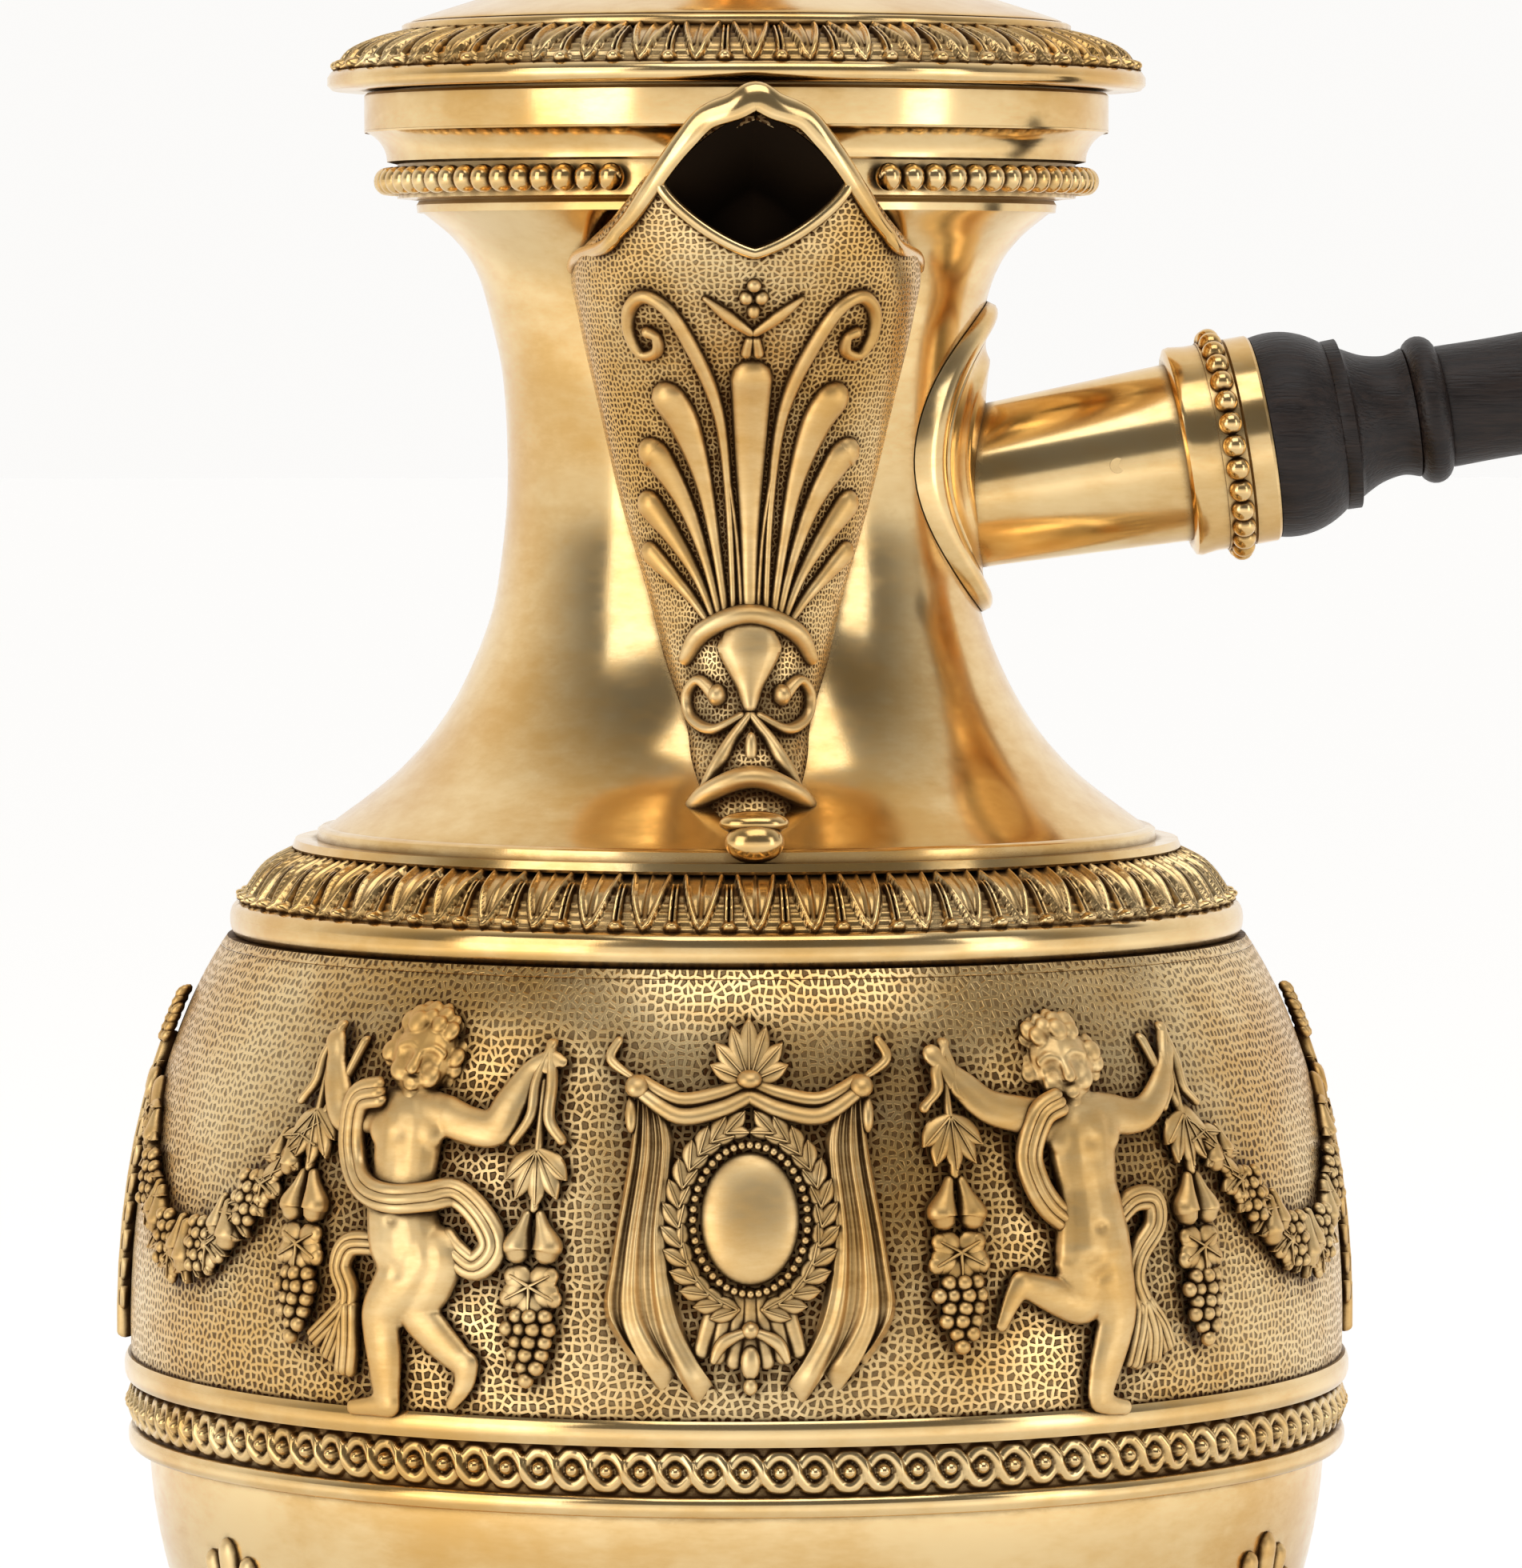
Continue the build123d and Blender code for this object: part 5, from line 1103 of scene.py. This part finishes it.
# angle round the wall, height of the hand that holds it, and how much shorter its ribbons are than the
# longest
DROPS = ((-45.6, 37.0, 2.6), (-20.8, 36.2, 0.6), (17.9, 36.2, 3.9), (44.6, 36.6, 2.4))
copies = []
for turn in (0.0, 180.0):
    for angle, hang, shorter in DROPS:
        hung = bunch.copy()
        for vert in hung.verts:
            vert.co.z += hang + shorter * max(0.0, min(1.0, -vert.co.z / 9))
        copies.append(bent(hung, angle + turn, FRIEZE_FOOT))
bunch.free()
piece("fruit_bunches", joined(copies), satin, "pot", "fruit_drops", crease=70)

SWAG_HALF = 21.0
SWAG_HANG, SWAG_FALL = 30.0, 16.5
random.seed(11)


def swag_line(x):
    """Height of the swag's middle line."""
    return SWAG_HANG - SWAG_FALL * cos(pi * x / SWAG_HALF / 2)


swag = [raised([(x, swag_line(x), 1.0, 0.8) for x in range(-20, 21, 4)], flat, lift=0.4),
        raised(((-22.4, 36.4, 0.5, 0.6), (-21.6, 32.0, 0.5, 0.6), (-20.2, 28.4, 0.6, 0.6)), flat, lift=0.5)]
for index in range(-9, 10):
    x = index * 2.05
    z = swag_line(x)
    lean = degrees(atan2(sin(pi * x / SWAG_HALF / 2) * SWAG_FALL * pi / SWAG_HALF / 2, 1.0))
    swell = cos(pi * x / SWAG_HALF / 2)
    kind = index % 4
    if kind == 0:
        swag += [pear(x - 1.0, z - 0.4, 1.0 + 0.7 * swell, -0.6),
                 pear(x + 1.1, z + 0.5, 0.9 + 0.6 * swell, 0.5)]
    elif kind == 1:
        swag += vine_leaf(x, z - 0.6, 1.3 + 0.8 * swell)
    elif kind == 2:
        swag += grapes(x, z + 1.6 + swell, (2, 3, 4, 3, 2) if swell > 0.5 else (1, 2, 2, 1), 0.72)
    for spread in (-100, -48, 52, 104):
        swag += blade(x, z, lean * 0.4 + spread + random.uniform(-14, 14), 2.4 + 1.6 * swell, 0.62)
swag = joined(swag)
copies = []
for angle, mirrored in ((64.5, False), (-64.5, True), (115.5, True), (-115.5, False)):
    hung = swag.copy()
    if mirrored:
        bmesh.ops.scale(hung, vec=(-1, 1, 1), verts=hung.verts)
        bmesh.ops.reverse_faces(hung, faces=hung.faces)
    copies.append(bent(hung, angle, FRIEZE_FOOT))
swag.free()
piece("fruit_swags", joined(copies), satin, "pot", "swags", crease=70)

# ---------------------------------------------------------------- shields
# A plain oval between drawn curtains, wreathed with laurel under a small palmette: a device with no arms on
# it.
SHIELD_MIDDLE = 19.5
SHIELD_BEADS = 44
# the two cords that tie up the curtain, the tassel's curl, and the ribbon under the wreath, each with its
# lift
CURTAIN_CORDS = (
    (((10.6, 31.8, 0.8, 0.9), (7.0, 29.6, 0.9, 0.9), (3.0, 30.2, 0.9, 0.9), (0, 31.6, 0.8, 0.9)), 0.7),
    (((10.6, 33.0, 0.6, 0.7), (7.0, 31.2, 0.7, 0.7), (3.0, 31.8, 0.7, 0.7), (0, 33.0, 0.6, 0.7)), 0.6),
    (((11.4, 33.2, 0.3, 0.4), (13.6, 35.0, 0.5, 0.5), (12.8, 36.8, 0.4, 0.4)), 0.7),
    (((0, 8.6, 0.4, 0.6), (2.6, 7.4, 0.7, 0.7), (3.6, 5.6, 0.4, 0.5)), 0.9),
)
CURTAIN_ROWS = 40  # four spans of a smooth line in ten steps each
shield = [knob(flat, 0, SHIELD_MIDDLE, 4.9, 6.6, 1.5, 0.6, 40)]
for index in range(SHIELD_BEADS):
    angle = tau * index / SHIELD_BEADS
    shield.append(knob(flat, 5.6 * sin(angle), SHIELD_MIDDLE - 7.3 * cos(angle), 0.42, 0.42, 0.42, 1.1, 8))
for side in (-1, 1):
    for index in range(13):
        angle = radians(10 + index * 12.5)
        foot_x, foot_z = side * 7.0 * sin(angle), SHIELD_MIDDLE - 9.0 * cos(angle)
        lean = side * (degrees(angle) + 62)
        shield += blade(foot_x, foot_z, lean, 3.0, 0.75)
        shield += blade(foot_x, foot_z, lean + side * 46, 2.5, 0.6)
    outer = smooth_line(sided(side, ((11.2, 31.8), (12.2, 25.0), (14.0, 15.0), (14.6, 9.6), (11.6, 4.4))), 10)
    inner = smooth_line(sided(side, ((9.0, 31.4), (7.4, 27.0), (7.8, 18.0), (6.2, 9.0), (2.0, 1.2))), 10)

    def curtain(u, v):
        (x0, z0), (x1, z1) = outer[round(v * CURTAIN_ROWS)], inner[round(v * CURTAIN_ROWS)]
        hem = 1.1 * sin(u * 17) * v**3
        fold = 0.42 * sin(u * 17 + 1.6 * v) * (0.35 + 0.65 * v) + 0.16 * sin(u * 41 + 4 * v)
        rim = min(1.0, 9 * min(u, 1 - u, 1.02 - v))
        return flat(x0 + (x1 - x0) * u, z0 + (z1 - z0) * u + hem, (1.25 + fold) * rim - 0.3)

    shield.append(sheet(48, CURTAIN_ROWS, curtain))
    for line, lift in CURTAIN_CORDS:
        shield.append(raised(sided(side, line), flat, lift=lift))
    shield += [knob(flat, side * 11.0, 32.4, 1.2, 1.2, 1.2, 0.9),
               knob(flat, side * 11.6, 29.6, 0.6, 1.8, 0.8, 0.9)]
    for angle, length in ((18, 5.6), (42, 5.0), (68, 4.2)):
        shield += blade(0, 33.0, 180 - side * angle, length, 0.9)
shield += blade(0, 33.0, 180, 6.2, 1.0) + [knob(flat, 0, 33.2, 1.3, 1.0, 1.2, 1.0)]
for up, width, tall, depth, lift in ((8.6, 0.9, 0.9, 1.0, 1.0), (5.4, 1.0, 1.8, 0.8, 0.8),
                                     (3.0, 0.7, 0.9, 0.7, 0.8)):
    shield.append(knob(flat, 0, up, width, tall, depth, lift))
for fold in range(-3, 4):
    shield.append(raised(((fold * 1.1, 12.0, 0.8, 0.6), (fold * 1.6, 5.0 + 0.5 * abs(fold), 0.9, 0.7)),
                         flat, lift=0.2))
shield = joined(shield)
for side, turn in (("front", 0.0), ("back", 180.0)):
    on_wall = bent(shield.copy(), turn - 1.1, FRIEZE_FOOT + 0.6)
    piece(f"oval_shield_{side}", on_wall, satin, "pot", f"shield_{side}", crease=70)
shield.free()

# ---------------------------------------------------------------- staffs
# A leafy staff with a cone on top and a knotted ribbon, where the swags meet at each side.
staff = [raised(((0, 1.4, 0.6, 0.9), (0, 18, 0.6, 0.9), (0, 33, 0.6, 0.9)), flat, 4, 12, lift=0.6)]
for row in range(6):
    count = 2 if row > 3 else 3
    for index in range(count):
        across = (index - (count - 1) / 2) * 1.15
        staff.append(knob(flat, across, 33.2 + row * 0.9, 0.75 - 0.06 * row, 0.75, 0.7,
                          1.0 + 0.3 * (index == 1), 10))
for z in range(4, 31, 3):
    for side in (-1, 1):
        staff += blade(0, z, 180 - side * 38, 3.2, 0.75)
BOW = ((0, 27.6, 0.5, 0.6), (2.6, 29.2, 0.8, 0.7), (3.6, 27.6, 0.7, 0.6), (1.2, 26.8, 0.4, 0.5))
for side in (-1, 1):
    staff.append(raised(sided(side, BOW), flat, lift=1.0))
staff = joined(staff)
for name, angle in (("left", -90.0), ("right", 90.0)):
    on_wall = bent(staff.copy(), angle, FRIEZE_FOOT + 0.4)
    piece(f"leafy_staff_{name}", on_wall, satin, "pot", f"staff_{name}", crease=70)
staff.free()

# ---------------------------------------------------------------- legs
# Three cast legs on lions' paws, each under a palmette soldered to the bowl.
LEG_ANGLES = (("left", -60.0), ("right", 60.0), ("back", 180.0))
LEG_LINE = ((58.5, 104.5, 4.2, 2.2), (63.0, 96.0, 4.2, 3.6), (63.4, 86.0, 4.2, 4.6), (60.8, 66.0, 3.9, 4.2),
            (58.0, 44.0, 3.4, 3.4), (57.6, 26.0, 3.1, 3.0), (58.0, 14.0, 3.6, 3.4), (59.0, 8.0, 4.4, 4.0))
PAW_LINE = ((55.0, 3.6, 5.0, 3.4), (60.0, 4.4, 6.2, 4.2), (64.0, 3.6, 6.4, 3.4))
OUTWARD, UPWARD, CLAWS_UP = Vector((0, -1, 0)), Vector((0, 0, 1)), Vector((0, -1, 0.4))


def limb(points, up, steps, sides, across=0.0):
    """A bar that runs along points of reach, height, half-width and half-depth, with its broad side up."""
    stations = [(Vector((across, -reach, z)), width, tall, up)
                for reach, z, width, tall in smooth_line(points, steps)]
    return swept(stations, sides)


leg = [limb(LEG_LINE, OUTWARD, 8, 28), limb(PAW_LINE, UPWARD, 6, 28)]
for index in range(4):
    across = (index - 1.5) * 3.4
    reach = 65.4 - 0.5 * abs(index - 1.5)
    toe = ((60.0, 6.4, 1.5, 2.0), (reach - 1.4, 5.2, 1.75, 2.6), (reach, 3.0, 1.7, 2.6))
    claw = ((reach + 1.0, 3.4, 0.7, 0.6), (reach + 2.0, 1.8, 0.6, 0.5), (reach + 2.2, 0.7, 0.3, 0.3))
    leg += [limb(toe, UPWARD, 5, 16, across), limb(claw, CLAWS_UP, 5, 10, across)]
KNEE_LEAF = ((0.6, 66.2, 74.0), (2.8, 66.6, 84.0), (3.4, 66.8, 92.0), (2.4, 66.6, 97.0), (0.9, 66.4, 93.0))
for side in (-1, 1):
    leg.append(swept([(Vector((side * across, -reach, z)), 0.7, 0.9, OUTWARD)
                      for across, reach, z in smooth_line(KNEE_LEAF, 6)], 10))
for row in range(5):
    for side in (-1, 0, 1):
        z = 30.0 - row * 4.2
        inset = 0.8 * abs(side)
        leg.append(swept([(Vector((side * 2.2, inset - 61.4, z + 4)), 0.8, 0.9, OUTWARD),
                          (Vector((side * 2.6, inset - 62.0, z)), 1.2, 0.9, OUTWARD)], 10))
leg = joined(leg)
for vert in leg.verts:
    vert.co.z = max(vert.co.z, 0.0)
    skin_radius = bowl_radius(vert.co.z) if vert.co.z > bowl_low.z else 0
    if vert.co.xy.length < skin_radius - 0.5:
        vert.co.xy *= (skin_radius - 0.5) / vert.co.xy.length


def on_bowl(across, up, lift=0.0):
    """A point on the lower body's face, across and up, lifted off it."""
    radius = bowl_radius(min(up, BOWL_CENTRE - 2)) + lift
    turn = asin(max(-1.0, min(1.0, across / radius)))
    return Vector((radius * sin(turn), -radius * cos(turn), up))


PALMETTE_FOOT = 93.4
PALMETTE_CURL = ((0.6, 93.6, 0.7, 0.9), (4.4, 92.6, 0.8, 1.0), (6.6, 94.8, 0.8, 1.0), (5.2, 96.6, 0.8, 1.0),
                 (3.8, 95.4, 0.7, 0.9))
palmette = [raised(((0, 93.6, 1.4, 1.0), (0, 103.0, 1.8, 1.3), (0, 111.4, 1.5, 1.1)), on_bowl)]
for side in (-1, 1):
    for spread, rise, width in ((3.6, 110.0, 1.3), (6.8, 107.2, 1.2), (8.8, 103.4, 1.1), (9.2, 99.2, 1.0)):
        middle = PALMETTE_FOOT + (rise - PALMETTE_FOOT) * 0.62
        lobe = ((0.9, PALMETTE_FOOT, 0.5, 0.8), (spread * 0.55, middle, 0.8, 1.0), (spread, rise, width, 1.1))
        palmette.append(raised(sided(side, lobe), on_bowl))
    palmette.append(raised(sided(side, PALMETTE_CURL), on_bowl))
palmette = joined(palmette)
for name, angle in LEG_ANGLES:
    for mould, label, node in ((leg, "leg", "leg"), (palmette, "palmette", "leg_palmette")):
        copy = mould.copy()
        bmesh.ops.rotate(copy, matrix=Matrix.Rotation(radians(angle), 3, "Z"), verts=copy.verts)
        piece(f"{label}_{name}", copy, satin, "pot", f"{node}_{name}", crease=70)
leg.free()
palmette.free()


# ---------------------------------------------------------------- room
# A pale seamless floor that glows by itself, with its glow dimmed near the pot as a painted shadow, and a
# soft room
# that gilding can mirror: bright behind the pot, dim before it, with big panels left, right and above.
floor_bm = bmesh.new()
bmesh.ops.create_grid(floor_bm, x_segments=1, y_segments=1, size=12)
floor_mesh = bpy.data.meshes.new("floor")
floor_bm.to_mesh(floor_mesh)
floor_bm.free()
floor = bpy.data.objects.new("floor", floor_mesh)
bpy.context.scene.collection.objects.link(floor)
floor_finish = Finish("floor", None, Base_Color=(0.93, 0.93, 0.92, 1), Roughness=0.9,
                      Emission_Strength=0.5)
# painted light: the floor glows, and its glow falls to a dim grey near the pot as a painted shadow that the
# burnished bowl also mirrors
distance = floor_finish.node("VectorMath", {"operation": "LENGTH"}, {"Vector": floor_finish.place})
away = Wire(floor_finish, distance.outputs["Value"])
painted_floor_glow = floor_finish.mixed(floor_finish.between(away, 0.25, 0.85), (0.22, 0.21, 0.20, 1), (1.0, 0.99, 0.98, 1))
floor_finish.feed(floor_finish.shader.inputs["Emission Color"], painted_floor_glow)
floor_mesh.materials.append(floor_finish.material)

world = bpy.data.worlds.new("room")
world.use_nodes = True
nodes, links = world.node_tree.nodes, world.node_tree.links
direction = nodes.new("ShaderNodeTexCoord")
axes = nodes.new("ShaderNodeSeparateXYZ")
links.new(direction.outputs["Generated"], axes.inputs[0])
brightness = nodes.new("ShaderNodeMapRange")
brightness.interpolation_type = "SMOOTHSTEP"
for label, value in (("From Min", -0.4), ("From Max", 0.7), ("To Min", 0.15), ("To Max", 0.97)):
    brightness.inputs[label].default_value = value
links.new(axes.outputs["Y"], brightness.inputs["Value"])
# a pale haze lies all round the horizon, so that the room has no dark wall from any side
height = nodes.new("ShaderNodeMath")
height.operation = "ABSOLUTE"
links.new(axes.outputs["Z"], height.inputs[0])
haze = nodes.new("ShaderNodeMapRange")
haze.interpolation_type = "SMOOTHSTEP"
for label, value in (("From Min", 0.07), ("From Max", 0.17), ("To Min", 0.9), ("To Max", 0.0)):
    haze.inputs[label].default_value = value
links.new(height.outputs["Value"], haze.inputs["Value"])
either = nodes.new("ShaderNodeMath")
either.operation = "MAXIMUM"
links.new(brightness.outputs["Result"], either.inputs[0])
links.new(haze.outputs["Result"], either.inputs[1])
links.new(either.outputs["Value"], nodes["Background"].inputs["Strength"])
nodes["Background"].inputs["Color"].default_value = (1.0, 0.99, 0.975, 1)
bpy.context.scene.world = world
bpy.context.scene.view_settings.view_transform = "Standard"

PANELS = (
    ("left", (-0.9, -0.75, 0.45), (0.7, 1.1), 4.6),
    ("right", (1.0, -0.65, 0.35), (0.3, 1.0), 1.7),
    ("above", (0.1, -0.5, 1.25), (1.0, 0.7), 4.2),
)
for name, place, (width, height), power in PANELS:
    light = bpy.data.lights.new(name, "AREA")
    light.shape = "RECTANGLE"
    light.size, light.size_y, light.energy = width, height, power
    lamp = bpy.data.objects.new(name, light)
    bpy.context.scene.collection.objects.link(lamp)
    lamp.location = place
    lamp.rotation_euler = (Vector((0, 0, 0.16)) - lamp.location).to_track_quat("-Z", "Y").to_euler()

# ---------------------------------------------------------------- camera
# A long lens a little to the left of the spout, level with the shoulder.
lens = bpy.data.cameras.new("camera")
lens.lens = 201
lens.sensor_width = 36
lens.clip_end = 50
camera = bpy.data.objects.new("camera", lens)
bpy.context.scene.collection.objects.link(camera)
camera.location = (-0.0373, -0.929, 0.2385)
AIM = Vector((0.0026, 0, 0.1888))
camera.rotation_euler = (AIM - camera.location).to_track_quat("-Z", "Y").to_euler()
bpy.context.scene.camera = camera
